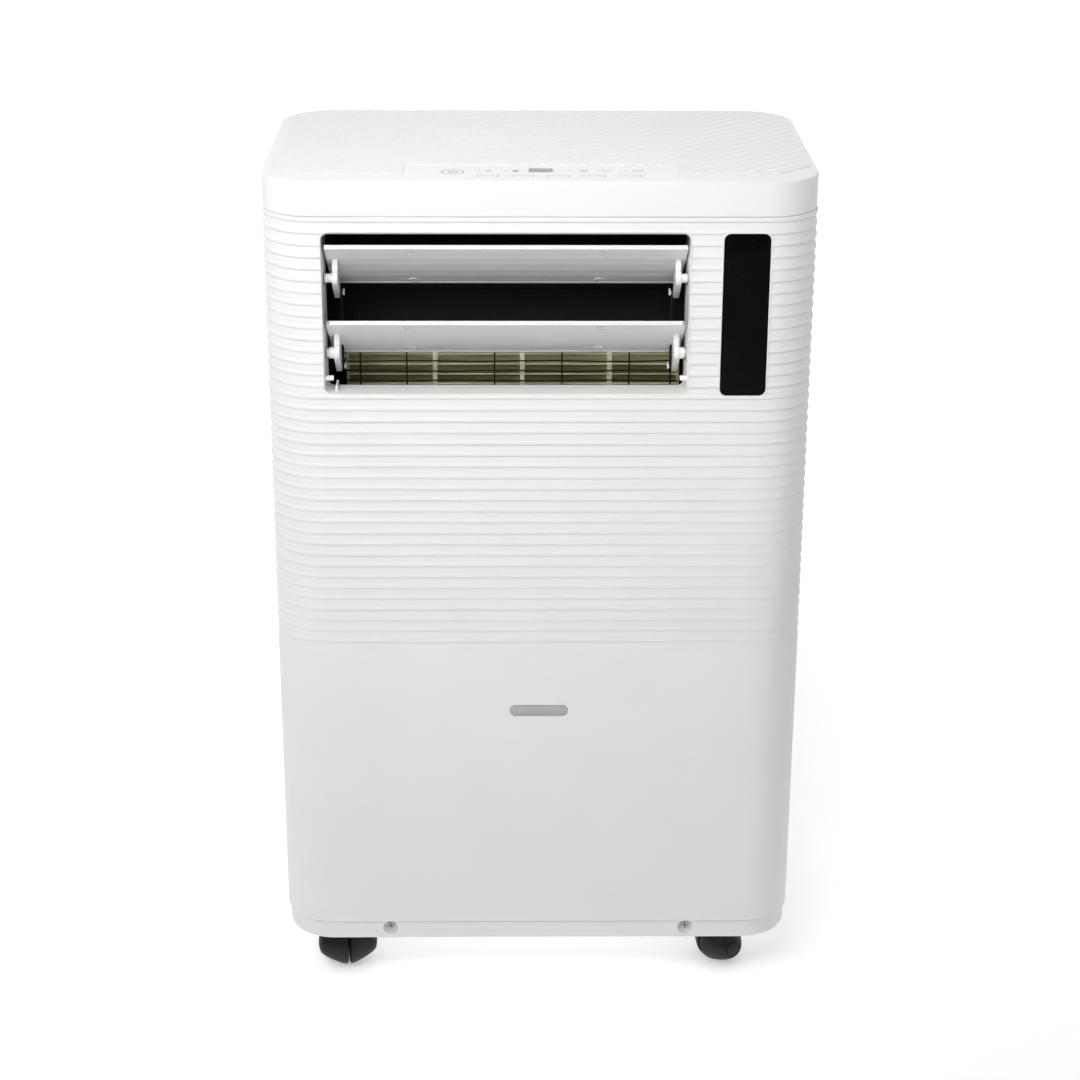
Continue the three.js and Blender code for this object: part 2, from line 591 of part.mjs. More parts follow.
// Black liner: side walls, roof and sloping floor behind the sleeve, and a back wall over the fan.
function outletDuct() {
  const [left, right] = [OUTLET.left - 3, OUTLET.right + 3];
  const side = polygon([
    [OUTLET.deep + 0.5, below(168)], [84, below(192)], [84, below(35.5)], [WALL + GAP, below(35.5)],
    [WALL + GAP, below(37.5)], [OUTLET.deep + 0.5, below(37.5)],
  ]);
  const hollow = polygon([
    [0, below(165.5)], [OUTLET.deep + 0.5, below(165.5)], [90, below(190.5)], [90, below(126)],
    [82, below(126)], [82, below(37.5)], [0, below(37.5)],
  ]);
  return cut(prism('x', side, left - 2, right + 2), prism('x', hollow, left, right));
}

// Flat guard in front of the fan: upright bars crossed by thin wires.
function outletGrille() {
  const [top, low] = [117, 178];
  const [firstWire, pitch] = [124, 7.9];
  const wires = Array.from({ length: 7 }, (_, i) => below(firstWire + pitch * i));
  return lattice(
    [OUTLET.left - 2.6, OUTLET.right + 2.6], [59, 61], [below(low), below(top)],
    { frame: 1.6, uprights: [-139.1, -103.1, -34.8, 17.7, 70, 102.2], bar: 1.8, wires, wire: 1.2 },
  );
}

// Rectangular frame filled with upright bars and level wires.
function lattice([x0, x1], ySpan, [z0, z1], { frame, uprights, bar, wires, wire }) {
  const rim = cut(
    block([x0, x1], ySpan, [z0, z1]),
    block([x0 + frame, x1 - frame], [ySpan[0] - 1, ySpan[1] + 1], [z0 + frame, z1 - frame]),
  );
  const inset = frame / 2;
  const bars = uprights.map((x) => block([x - bar / 2, x + bar / 2], ySpan, [z0 + inset, z1 - inset]));
  const rungs = wires.map((z) => block([x0 + inset, x1 - inset], ySpan, [z - wire / 2, z + wire / 2]));
  return join(rim, ...bars, ...rungs);
}

function louvreMotor() {
  const z = below(BLADE.pivots[0]);
  const offset = 8;   // the output shaft sits off the middle of the can
  const start = OUTLET.right + 2 + 2 * GAP + BLADE.taper;
  return join(
    rod('x', 13, start + 1, start + 18, [BLADE.pivotY + offset, z], 20),
    rod('x', 2.5, start - 1, start + 2, [BLADE.pivotY, z], 8),
  );
}

// ---- upper air path ----
function fanWheel() {
  const centre = [FAN.y, below(FAN.below)];
  const half = 1.2;
  const discs = FAN.discs.map((x) => rod('x', FAN.radius, x - half, x + half, centre, FAN.blades));
  const bladeShape = polygon([[-1, FAN.radius - 2], [1, FAN.radius - 2], [5, FAN.radius - 16], [3.2, FAN.radius - 16]]);
  const blades = Array.from({ length: FAN.blades }, (_, i) => {
    const geometry = toGeometry(prism('x', bladeShape, FAN.left, FAN.right));
    geometry.rotateX(((i + 0.5) / FAN.blades) * 2 * Math.PI).translate(0, ...centre);
    return toSolid(geometry);
  });
  const stubs = [[FAN.left - 12, FAN.left], [FAN.right, FAN.right + 16]].map((span) => rod('x', 4, ...span, centre, 10));
  return join(discs[0], ...discs.slice(1), ...stubs, ...blades);
}

function fanScroll() {
  const [y, z] = [FAN.y, below(FAN.below)];
  const [inner, outer] = [52, 54];
  const [from, to] = [(200 / 180) * Math.PI, (335 / 180) * Math.PI];
  const wall = new THREE.Shape();
  wall.absarc(y, z, outer, from, to);
  wall.absarc(y, z, inner, to, from, true);
  const [left, right] = [OUTLET.left - 3, OUTLET.right + 3];
  const cheek = new THREE.Shape();
  cheek.absarc(y, z, outer, from, to);
  cheek.lineTo(y + 14, z + 12);
  cheek.lineTo(y - 14, z + 12);
  const cheeks = [left - 2, right].map((x) => prism('x', cheek, x, x + 2, 4));
  return cut(
    join(prism('x', wall, left - 2, right + 2, 5), ...cheeks),
    rod('x', 6, left - 5, right + 5, [y, z], 12),
  );
}

function coil(x0, x1, y, heights, bend) {
  const radius = 3.5;
  const runs = heights.map((z) => rod('x', radius, x0, x1, [y, z], 6));
  const bends = heights.slice(1).map((z, i) => {
    const low = heights[i];
    const [x, out] = i % 2 === 0 ? [x1 - 1, 1] : [x0 + 1, -1];
    const middle = (low + z) / 2;
    const reach = (z - low) / 2;
    const points = Array.from({ length: 5 }, (_, k) => {
      const turn = -Math.PI / 2 + (k / 4) * Math.PI;
      return [x + out * bend * Math.cos(turn), y, middle + reach * Math.sin(turn)];
    });
    return pipe(points, radius * 0.98, 5);
  });
  return join(runs[0], ...runs.slice(1), ...bends);
}

function coilPair(prefix, [x0, x1], [y0, y1], [z0, z1], count) {
  const step = (z1 - z0) / count;
  const heights = Array.from({ length: count }, (_, i) => z0 + step * (i + 0.5));
  const middle = (y0 + y1) / 2;
  const holes = heights.map((z) => rod('x', 3.9, x0 - 1, x1 + 1, [middle, z], 8));
  add(`${prefix}_fins`, cut(block([x0, x1], [y0, y1], [z0, z1]), ...holes), 'foil');
  add(`${prefix}_tubes`, coil(x0 - 4, x1 + 4, middle, heights, 9), 'copper');
}

function upperParts() {
  const centre = [FAN.y, below(FAN.below)];
  const [left, right] = [OUTLET.left - 3, OUTLET.right + 3];
  add('fan_wheel', fanWheel(), 'olive');
  add('fan_scroll', fanScroll(), 'black');
  add('fan_bearing', ring('x', 4.3, 9, left - 2 - GAP - 8, left - 2 - GAP, centre, 12), 'rubber');
  const motorFront = right + 2 + GAP;
  add('fan_motor', turned('x', [
    [4.4, motorFront + 12], [4.4, motorFront], [12, motorFront], [12, motorFront + 5], [36, motorFront + 7],
    [38, motorFront + 12], [38, motorFront + 46], [34, motorFront + 52], [0, motorFront + 52], [0, motorFront + 12],
    [4.4, motorFront + 12],
  ], centre), 'steel');
  coilPair('evaporator', [-150, 120], [196, 226], [428, 640], 5);
  const tray = cut(
    prism('z', roundedRect(-202, 202, 50, DEPTH - 10, 28), TRAY.low, TRAY.high),
    prism('z', roundedRect(-200, 200, 52, DEPTH - 12, 26), TRAY.low + 2, TRAY.high + 1),
    block([-198, -174], [186, 236], [TRAY.low - 1, TRAY.high]),
    rod('y', DRAINS.bore, DEPTH - 13, DEPTH, [DRAINS.x, DRAINS.middle + 3], 12),
  );
  add('drip_tray', tray, 'pale');
}

// ---- lower half ----
function blowerHousing() {
  const { x, z } = BLOWER;
  const spiral = (grow) => {
    const points = Array.from({ length: 17 }, (_, i) => {
      const turn = (i / 16) * 2 * Math.PI;
      const radius = 70 + (22 * i) / 16 + grow;
      return [x + radius * Math.cos(turn), z + radius * Math.sin(turn)];
    });
    return polygon(points);
  };
  const neck = (grow) => block([x + 20 - grow, x + 88 + grow], [130 - grow, 196 + grow], [z, 270]);
  const head = (grow) => block([HOSE.x - 64 - grow, HOSE.x + 64 + grow], [130 - grow, 246 + grow], [264 - grow, 392 + grow]);
  const outside = join(prism('y', spiral(2), 128, 198), neck(2), head(2));
  const inside = join(prism('y', spiral(0), 130, 196), neck(0), head(0));
  return cut(
    outside,
    inside,
    rod('y', 8, 120, 132, [x, z], 12),
    rod('y', 50, 194, 202, [x, z], 20),
    rod('y', HOSE.inner, 244, 252, [HOSE.x, HOSE.z], 24),
  );
}

function blowerWheel() {
  const centre = [BLOWER.x, BLOWER.z];
  const back = rod('y', BLOWER.radius, 136, 138.5, centre, BLOWER.blades);
  const shroud = ring('y', BLOWER.radius - 12, BLOWER.radius, 186, 189, centre, BLOWER.blades);
  const hub = rod('y', 9, 137, 160, centre, 10);
  const shaft = rod('y', 4, 112, 137, centre, 10);
  const shape = polygon([[-1, BLOWER.radius - 1], [1, BLOWER.radius - 1], [5, BLOWER.radius - 11], [3, BLOWER.radius - 11]]);
  const blades = Array.from({ length: BLOWER.blades }, (_, i) => {
    const geometry = toGeometry(prism('y', shape, 137, 187.5));
    geometry.rotateY(((i + 0.5) / BLOWER.blades) * 2 * Math.PI).translate(centre[0], 0, centre[1]);
    return toSolid(geometry);
  });
  return join(back, shroud, hub, shaft, ...blades);
}

function compressorParts() {
  const [x, y] = [-112, 118];
  const floor = below(BASE_BOTTOM) + 3 + GAP;
  const spots = [90, 210, 330].map((degrees) => {
    const turn = THREE.MathUtils.degToRad(degrees);
    return [x + 62 * Math.cos(turn), y + 62 * Math.sin(turn)];
  });
  spots.forEach(([fx, fy], i) => {
    const foot = turned('z', [
      [3, floor], [10, floor], [10, floor + 5], [7, floor + 8], [10, floor + 11], [10, floor + 16], [3, floor + 16],
      [3, floor],
    ], [fx, fy], 10);
    add(`compressor_foot_${i + 1}`, foot, 'rubber');
  });
  const plateLow = floor + 16 + GAP;
  const plate = prism('z', polygon(spots.map(([fx, fy]) => [x + (fx - x) * 1.3, y + (fy - y) * 1.3])), plateLow, plateLow + 3);
  const can = turned('z', [
    [0, plateLow + 1], [40, plateLow + 1], [52, plateLow + 12], [54, plateLow + 20], [54, plateLow + 150],
    [48, plateLow + 168], [30, plateLow + 180], [0, plateLow + 184],
  ], [x, y], 20);
  add('compressor', join(plate, can), 'enamel');
  return { x, y, top: plateLow + 184 };
}

function lowerParts() {
  const centre = [BLOWER.x, BLOWER.z];
  add('blower_housing', blowerHousing(), 'pale');
  add('blower_wheel', blowerWheel(), 'black');
  add('blower_motor', turned('y', [
    [4.4, 110], [4.4, 127], [12, 127], [12, 121], [34, 119], [36, 114], [36, 78], [32, 72], [0, 72], [0, 110], [4.4, 110],
  ], centre), 'steel');
  coilPair('condenser', [-105, 178], [206, 234], [86, 250], 5);
  const { x, y, top } = compressorParts();
  add('suction_pipe', pipe([
    [x - 20, y, top + GAP], [x - 24, y, top + 20], [x - 50, y + 20, 320], [-184, 190, 350], [-186, 212, 380],
    [-186, 212, 430], [-176, 211, 470], [-166, 211, 478],
  ], 4, 20), 'copper');
  add('liquid_pipe', pipe([
    [-125, 220, 234], [-140, 222, 240], [-160, 224, 270], [-178, 226, 330], [-180, 226, 390],
    [-180, 224, 430], [-172, 216, 442], [-166, 211, 444],
  ], 2, 20), 'copper');
  const box = cut(
    block([-190, -20], [12, 50], [285, 385]),
    block([-188, -22], [14, 51], [287, 383]),
  );
  add('control_box', box, 'pale');
  const board = block([-184, -26], [17, 18.6], [291, 379]);
  const bits = [[-170, -150, 300, 330], [-130, -95, 330, 365], [-70, -40, 300, 340]].map(([x0, x1, z0, z1]) =>
    block([x0, x1], [18, 42], [z0, z1]));
  add('power_board', join(board, ...bits), 'board');
}

// ---- rear fittings ----
const evenly = (count, from, to) =>
  Array.from({ length: count }, (_, i) => from + ((i + 1) * (to - from)) / (count + 1));

function rearGrille([x0, x1], [z0, z1], thick, uprights, slats) {
  const outer = DEPTH + PROUD;
  return lattice([x0, x1], [outer - thick, outer], [z0, z1], {
    frame: 8, bar: 4, wire: 6, uprights: evenly(uprights, x0 + 8, x1 - 8), wires: evenly(slats, z0 + 8, z1 - 8),
  });
}

function plug(z) {
  const face = DEPTH + PROUD + GAP;
  return turned('y', [
    [0, DEPTH - 8], [DRAINS.bore - 0.5, DEPTH - 8], [DRAINS.bore - 0.2, face], [DRAINS.cap, face],
    [DRAINS.cap, face + 4], [DRAINS.cap - 1.5, face + 5.5], [0, face + 5.5],
  ], [DRAINS.x, z], 14);
}

function rearParts() {
  const outer = DEPTH + PROUD;
  add('intake_grille', rearGrille(
    [-INTAKE.half, INTAKE.half], [below(INTAKE.bottom), below(INTAKE.top)], INTAKE.thick, 1, 12), 'white');
  const filterBack = outer - INTAKE.thick - GAP;
  add('intake_filter', lattice(
    [-INTAKE.half + 6, INTAKE.half - 6], [filterBack - 2.4, filterBack],
    [below(INTAKE.bottom - 8), below(INTAKE.top + 6)],
    { frame: 6, bar: 4, wire: 4, uprights: evenly(2, -INTAKE.half, INTAKE.half), wires: evenly(3,
      below(INTAKE.bottom), below(INTAKE.top)) },
  ), 'mesh');
  add('condenser_grille', rearGrille([VENT.left, VENT.right], [VENT.low, VENT.high], 3, 2, 9), 'white');
  add('hose_collar', turned('y', [
    [HOSE.inner, DEPTH - 12], [HOSE.outer, DEPTH - 12], [HOSE.outer, outer + GAP], [HOSE.flange, outer + GAP],
    [HOSE.flange, outer + GAP + 2.5], [HOSE.outer, outer + GAP + 2.5], [HOSE.outer, DEPTH + COLLAR_REACH],
    [HOSE.inner, DEPTH + COLLAR_REACH], [HOSE.inner, DEPTH - 12],
  ], [HOSE.x, HOSE.z], 24), 'white');
  add('drain_plug_middle', plug(DRAINS.middle), 'rubber');
  add('drain_plug_bottom', plug(DRAINS.bottom), 'rubber');
  add('cord_gland', turned('y', [
    [GLAND.bore, DEPTH - 8], [GLAND.body, DEPTH - 8], [GLAND.body, outer + GAP], [GLAND.flange, outer + GAP],
    [GLAND.flange, outer + GAP + 2], [GLAND.body + 1, outer + 9], [GLAND.bore, outer + 9], [GLAND.bore, DEPTH - 8],
  ], [GLAND.x, GLAND.z], 14), 'black');
}

function sideHandles() {
  for (const [name, side] of [['handle_cup_left', -1], ['handle_cup_right', 1]]) {
    const face = WIDTH / 2 + PROUD - RIB.depth;
    const span = (near, far) => (side < 0 ? [-far, -near] : [near, far]);
    const [low, high] = [below(HANDLE.below + HANDLE.tall) + GAP, below(HANDLE.below) - GAP];
    const outside = block(span(face - HANDLE.deep, face), [HANDLE.front + GAP, HANDLE.back - GAP], [low, high]);
    const hollow = block(span(face - HANDLE.deep + 2, face + 1),
      [HANDLE.front + GAP + 2, HANDLE.back - GAP - 2], [low + 2, high - 2]);
    add(name, cut(outside, hollow), 'pale');
  }
}

function frontTrim() {
  const pane = rectXZ(WINDOW);
  add('indicator_window', join(
    prism('y', pane, -PROUD + 0.35, WALL + GAP + 1, 2),
    block([WINDOW.left - 2, WINDOW.right - 3], [WALL + GAP, WALL + GAP + 1], [below(WINDOW.bottom + 2), below(WINDOW.top - 2)]),
  ), 'gloss');
  const badge = roundedRect(-BADGE.half, BADGE.half,
    below(BADGE.below) - BADGE.tall / 2, below(BADGE.below) + BADGE.tall / 2, BADGE.tall / 2 - 0.1);
  add('blank_badge', prism('y', badge, -PROUD, -PROUD + BADGE.deep - GAP, 4), 'grey');
}

// ---- casters ----
function casterSpots() {
  const back = DEPTH - CASTER.inset;
  return [
    { name: 'front_left', x: -CASTER.x, y: CASTER.inset, turn: 9 },
    { name: 'front_right', x: CASTER.x, y: CASTER.inset, turn: -62 },
    { name: 'rear_left', x: -CASTER.x, y: back, turn: 152 },
    { name: 'rear_right', x: CASTER.x, y: back, turn: -160 },
  ];
}

// Hood drawn round the swivel axis, with the wheel axis CASTER.trail in front of it.
// Its crown runs over the top and back of the wheels and leaves their front open.
function casterHood() {
  const axle = [-CASTER.trail, CASTER.wheel];
  const [back, front] = [-0.1, 2];
  const crown = new THREE.Shape();
  crown.absarc(...axle, CASTER.wheel + 3.2, back, front);
  crown.absarc(...axle, CASTER.wheel + 1.4, front, back, true);
  const web = new THREE.Shape();
  web.absarc(...axle, CASTER.wheel + 2.4, back + 0.2, front);
  web.absarc(...axle, 7, Math.PI + 0.6, 2 * Math.PI - 0.6);
  const seat = below(BASE_BOTTOM) - 0.5;
  return cut(
    join(
      prism('x', crown, -15, 15, 4),
      prism('x', web, -1.1, 1.1, 4),
      rod('z', 14, CASTER.wheel * 2 + 1, seat, [0, 0], 16),
      rod('z', 4, seat - 1, below(SEAM) - 4, [0, 0], 12),
    ),
    rod('x', CASTER.axle + 0.4, -3, 3, axle, 12),
  );
}

// Two domed wheels on one axle, with a slot between them for the hood's web.
function casterRoller() {
  const { wheel, half, slot, axle } = CASTER;
  const rows = 3;
  const dome = Array.from({ length: rows }, (_, i) => {
    const turn = (i / rows) * (Math.PI / 2);
    return [wheel * Math.cos(turn), slot + (half - slot) * Math.sin(turn)];
  });
  const profile = [
    [0, -half], ...dome.map(([r, x]) => [r, -x]).reverse(), [axle, -slot], [axle, slot], ...dome, [0, half],
  ];
  return turned('x', profile, [-CASTER.trail, CASTER.wheel], CASTER.sides);
}

function casters() {
  const [hood, roller] = [casterHood(), casterRoller()];
  for (const { name, x, y, turn } of casterSpots()) {
    const swivel = new THREE.Group();
    swivel.position.set(x, y, 0);
    swivel.rotation.z = THREE.MathUtils.degToRad(turn);
    cabinet.add(swivel);
    add(`caster_hood_${name}`, hood, 'black', swivel);
    add(`caster_wheels_${name}`, roller, 'black', swivel);
  }
}

// ---- assembly ----
add('top_cover', topCover(), 'cover');
topParts();
add('front_panel', frontPanel(), 'white');
frontTrim();
add('rear_shell', rearShell(), 'white');
sideHandles();
rearParts();
add('base_pan', basePan(), 'white');
add('base_screw_left', baseScrew(-SCREW.x), 'steel');
add('base_screw_right', baseScrew(SCREW.x), 'steel');
outletParts();
upperParts();
lowerParts();
casters();

export default airConditioner;
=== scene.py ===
"""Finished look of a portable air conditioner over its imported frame.

Shapes are drawn in millimetres from the cabinet's own corner: x from the middle to the right, y from the
front of the top cover to the rear, z up from the floor. make() places them in the frame, in metres.
"""
import json
import math

import bmesh
import bpy
from mathutils import Matrix, Vector


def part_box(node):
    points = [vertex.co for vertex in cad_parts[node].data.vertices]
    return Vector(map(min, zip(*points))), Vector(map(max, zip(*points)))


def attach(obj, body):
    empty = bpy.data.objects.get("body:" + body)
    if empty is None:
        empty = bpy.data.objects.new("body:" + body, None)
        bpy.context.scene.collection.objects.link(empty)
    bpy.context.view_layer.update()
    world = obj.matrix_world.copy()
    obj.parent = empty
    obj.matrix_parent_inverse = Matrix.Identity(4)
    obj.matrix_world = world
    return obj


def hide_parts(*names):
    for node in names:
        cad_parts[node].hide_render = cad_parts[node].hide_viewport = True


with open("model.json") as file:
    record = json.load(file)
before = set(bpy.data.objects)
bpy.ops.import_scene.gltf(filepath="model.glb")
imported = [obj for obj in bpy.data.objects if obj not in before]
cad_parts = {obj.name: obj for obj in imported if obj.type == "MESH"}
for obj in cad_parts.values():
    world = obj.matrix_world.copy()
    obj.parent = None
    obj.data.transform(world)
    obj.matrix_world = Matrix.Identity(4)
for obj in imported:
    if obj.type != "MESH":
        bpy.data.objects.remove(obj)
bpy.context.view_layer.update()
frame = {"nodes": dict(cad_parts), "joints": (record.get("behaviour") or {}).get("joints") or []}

MM = 0.001
TURN = 2 * math.pi


# ---- sizes read from the frame ----
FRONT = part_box("top_cover")[0].y
ACROSS = {"x": "yz", "y": "xz", "z": "xy"}


def extent(node):
    """Lowest and highest corner of a CAD node in the drawing's millimetres."""
    return [Vector((p.x, p.y - FRONT, p.z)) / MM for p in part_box(node)]


def centre(node, axis="y"):
    """Middle of a CAD node as seen along an axis."""
    low, high = (getattr(corner, ACROSS[axis]) for corner in extent(node))
    return (low.x + high.x) / 2, (low.y + high.y) / 2


def joint(name):
    """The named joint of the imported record, and its place in the drawing's millimetres."""
    found = next(j for j in frame["joints"] if j["name"] == name)
    x, y, z = found["pos_m"]
    return found, Vector((x, y - FRONT, z)) / MM


HALF = extent("top_cover")[1].x
DEPTH = extent("top_cover")[1].y
RIM = extent("power_key")[1].z
PROUD = extent("front_panel")[1].x - HALF
SKIRT = RIM - extent("top_cover")[0].z
SEAM = extent("base_pan")[1].z
BASE = extent("base_pan")[0].z
OUTLET = {"left": -162.6, "right": 110.9, "top": RIM - 39.2, "bottom": RIM - 162.7, "radius": 5}
WINDOW = {"left": 135.8, "right": 170.3, "top": RIM - 39, "bottom": RIM - 164.2, "radius": 5}

# ---- names and driving sizes that the frame doesn't hold ----
SCREWS = ("base_screw_left", "base_screw_right")
CASTERS = ("front_left", "front_right", "rear_left", "rear_right")
KEYS = ["speed_key", "mode_key", "timer_key", "cooler_key", "warmer_key"]
CORNER = 40
WALL = 2.5
GAP = 0.3
RIB_PITCH = 9.13
RIB_FIRST = 30.2
RIB_COUNT = 38
RIB_END = DEPTH - CORNER
RIDGE_PITCH = 14.46
RIDGE_END = 176.2
LAST_CREST = 151.7
FIELD_SIDE = 4
FIELD_FRONT = 22.9
FIELD_RADIUS = 36
NOTCH_HALF = 101.5
NOTCH_BACK = 53.5
POCKET = 1.9
PIVOT_Y = joint("louvre_swing")[1].y


def below(mm):
    """Height of something that far below the rim."""
    return RIM - mm


# ---- shapes: (points, faces) ----
def merge(*shapes):
    points, faces = [], []
    for more, wound in shapes:
        start = len(points)
        points += more
        faces += [tuple(start + i for i in face) for face in wound]
    return points, faces


def moved(shape, matrix):
    return [tuple(matrix @ Vector(p)) for p in shape[0]], shape[1]


def polar(a, b, radius, turn):
    """Point at a radius and an angle in radians round a, b."""
    return a + radius * math.cos(turn), b + radius * math.sin(turn)


def along(axis, a, b, height):
    """A point at height along an axis, and at a, b on the other two in X, Y, Z order."""
    return {"x": (height, a, b), "y": (a, height, b), "z": (a, b, height)}[axis]


def loft(rings, loop=False):
    """Faces between successive rings of equal length, capped, or with the last ring joined to the first."""
    count = len(rings[0])
    points = [p for ring in rings for p in ring]
    faces = []
    for i in range(len(rings) if loop else len(rings) - 1):
        a, b = i * count, (i + 1) % len(rings) * count
        for j in range(count):
            k = (j + 1) % count
            faces.append((a + j, a + k, b + k, b + j))
    if not loop:
        faces.append(tuple(reversed(range(count))))
        faces.append(tuple(range(len(points) - count, len(points))))
    return points, faces


def lathe(axis, middle, profile, sides=48, closed=False):
    """Turned shape through (radius, height) pairs. closed joins the profile's ends into a ring."""
    turns = [TURN * i / sides for i in range(sides)]
    return loft([
        [along(axis, *polar(*middle, radius, t), height) for t in turns] for radius, height in profile
    ], loop=closed)


def prism(axis, outline, low, high):
    return loft([[along(axis, a, b, height) for a, b in outline] for height in (low, high)])


def slab(x, y, z):
    """Rectangular block from (low, high) pairs."""
    return prism("z", [(x[0], y[0]), (x[1], y[0]), (x[1], y[1]), (x[0], y[1])], *z)


def block(box, x=0.0, y=0.0, z=0.0):
    """Rectangular block filling a (low, high) box, grown along each axis."""
    low, high = box
    return slab((low.x - x, high.x + x), (low.y - y, high.y + y), (low.z - z, high.z + z))


def arc(ca, cb, radius, start, end, steps=8):
    """Points of an arc, angles in degrees."""
    turns = [math.radians(start + (end - start) * i / steps) for i in range(steps + 1)]
    return [polar(ca, cb, radius, t) for t in turns]


def rounded(a0, a1, b0, b1, radius, steps=8):
    """Rounded rectangle, anticlockwise from the lower left corner."""
    return (
        arc(a0 + radius, b0 + radius, radius, 180, 270, steps)
        + arc(a1 - radius, b0 + radius, radius, 270, 360, steps)
        + arc(a1 - radius, b1 - radius, radius, 0, 90, steps)
        + arc(a0 + radius, b1 - radius, radius, 90, 180, steps)
    )


def outline_of(box, radius, axis="y", grow=0.0, steps=8):
    """Rounded outline of a (low, high) box seen along an axis, grown on every side."""
    (a0, b0), (a1, b1) = (getattr(corner, ACROSS[axis]) for corner in box)
    return rounded(a0 - grow, a1 + grow, b0 - grow, b1 + grow, radius, steps)


def opening(size, grow=0.0, steps=8):
    """Outline of an opening in the front, grown outwards."""
    return rounded(
        size["left"] - grow, size["right"] + grow, size["bottom"] - grow, size["top"] + grow,
        size["radius"] + grow, steps,
    )


def framing(size, section, steps=8):
    """Moulding swept round an opening: section points are (outwards, depth)."""
    return loft(
        [[(a, depth, b) for a, b in opening(size, out, steps)] for out, depth in section], loop=True)


def tube(route, radius, sides=12):
    """Round bar along a smooth run through a few points."""
    route = [Vector(p) for p in route]
    rings = []
    normal = None
    for i, point in enumerate(route):
        ahead = (route[min(i + 1, len(route) - 1)] - route[max(i - 1, 0)]).normalized()
        if normal is None:
            normal = ahead.orthogonal().normalized()
        normal = (normal - ahead * normal.dot(ahead)).normalized()
        other = ahead.cross(normal)
        turns = [TURN * k / sides for k in range(sides)]
        rings.append([tuple(point + (normal * math.cos(t) + other * math.sin(t)) * radius) for t in turns])
    return loft(rings)


def smooth_route(points, steps=6):
    """Catmull-Rom points through a few places."""
    route = [Vector(p) for p in points]
    route = [2 * route[0] - route[1]] + route + [2 * route[-1] - route[-2]]
    run = []
    for a, b, c, d in zip(route, route[1:], route[2:], route[3:]):
        for i in range(steps):
            t = i / steps
            square = (2 * a - 5 * b + 4 * c - d) * t ** 2
            cube = (3 * b - a - 3 * c + d) * t ** 3
            run.append(0.5 * (2 * b + (c - a) * t + square + cube))
    return run + [route[-2]]


def loaded(shape):
    """The shape as a bmesh, with doubled points joined and its faces turned outwards."""
    bm = bmesh.new()
    points = [bm.verts.new(p) for p in shape[0]]
    for face in shape[1]:
        bm.faces.new([points[i] for i in face])
    bmesh.ops.remove_doubles(bm, verts=bm.verts, dist=1e-4)
    bmesh.ops.recalc_face_normals(bm, faces=bm.faces)
    return bm


def unloaded(bm):
    bm.verts.index_update()
    shape = [tuple(v.co) for v in bm.verts], [tuple(v.index for v in f.verts) for f in bm.faces]
    bm.free()
    return shape


def eased(shape, width, segments=2, angle=32):
    """The shape with its edges sharper than angle rounded to width."""
    bm = loaded(shape)
    limit = math.radians(angle)
    edges = [e for e in bm.edges if len(e.link_faces) == 2 and e.calc_face_angle() > limit]
    bmesh.ops.bevel(
        bm, geom=edges, offset=width, segments=segments, profile=0.5, affect="EDGES", clamp_overlap=True)
    return unloaded(bm)


def cad_shape(node):
    """A CAD node's own shape in the drawing's millimetres, with flat faces joined up."""
    bm = bmesh.new()
    bm.from_mesh(frame["nodes"][node].data)
    bmesh.ops.remove_doubles(bm, verts=bm.verts, dist=1e-6)
    bmesh.ops.dissolve_limit(bm, angle_limit=math.radians(1), verts=bm.verts, edges=bm.edges)
    for v in bm.verts:
        v.co = Vector((v.co.x, v.co.y - FRONT, v.co.z)) / MM
    return unloaded(bm)


def temporary(shape):
    bm = loaded(shape)
    mesh = bpy.data.meshes.new("temporary")
    bm.to_mesh(mesh)
    bm.free()
    holder = bpy.data.objects.new("temporary", mesh)
    bpy.context.scene.collection.objects.link(holder)
    return holder


def carved(shape, *tools, operation="DIFFERENCE"):
    """The shape after an exact boolean with each tool."""
    base = temporary(shape)
    cutters = [temporary(tool) for tool in tools]
    for cutter in cutters:
        modifier = base.modifiers.new("cut", "BOOLEAN")
        modifier.operation = operation
        modifier.solver = "EXACT"
        modifier.object = cutter
    bpy.context.view_layer.update()
    result = base.evaluated_get(bpy.context.evaluated_depsgraph_get()).to_mesh()
    cut = [tuple(v.co) for v in result.vertices], [tuple(p.vertices) for p in result.polygons]
    for holder in [base, *cutters]:
        mesh = holder.data
        bpy.data.objects.remove(holder)
        bpy.data.meshes.remove(mesh)
    return cut


def make(name, shape, look, *nodes, body="cabinet", angle=32):
    """A finished piece: the shape placed in the frame, standing for CAD nodes and riding on a body."""
    bm = loaded(shape)
    for v in bm.verts:
        v.co = Vector((v.co.x * MM, v.co.y * MM + FRONT, v.co.z * MM))
    mesh = bpy.data.meshes.new(name)
    bm.to_mesh(mesh)
    bm.free()
    mesh.shade_smooth()
    mesh.set_sharp_from_angle(angle=math.radians(angle))
    surface, slot = LOOKS[look]
    mesh.materials.append(surface)
    piece = bpy.data.objects.new(name, mesh)
    bpy.context.scene.collection.objects.link(piece)
    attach(piece, body)
    if nodes:
        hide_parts(*nodes)
    return piece


# ---- finishes ----
GRAIN_DEPTH = 0.05
GLOSS_DRIFT = 0.12
BAND_DEPTH = 0.4


def add_noise(tree, place, size, detail=3.0):
    """Noise with features of a size, over the coordinates of a socket."""
    noise = tree.nodes.new("ShaderNodeTexNoise")
    noise.inputs["Scale"].default_value = 1 / (size * MM)
    noise.inputs["Detail"].default_value = detail
    tree.links.new(place, noise.inputs["Vector"])
    return noise.outputs["Fac"]


def own_place(tree):
    """The piece's own coordinates, as a socket."""
    return tree.nodes.new("ShaderNodeTexCoord").outputs["Object"]


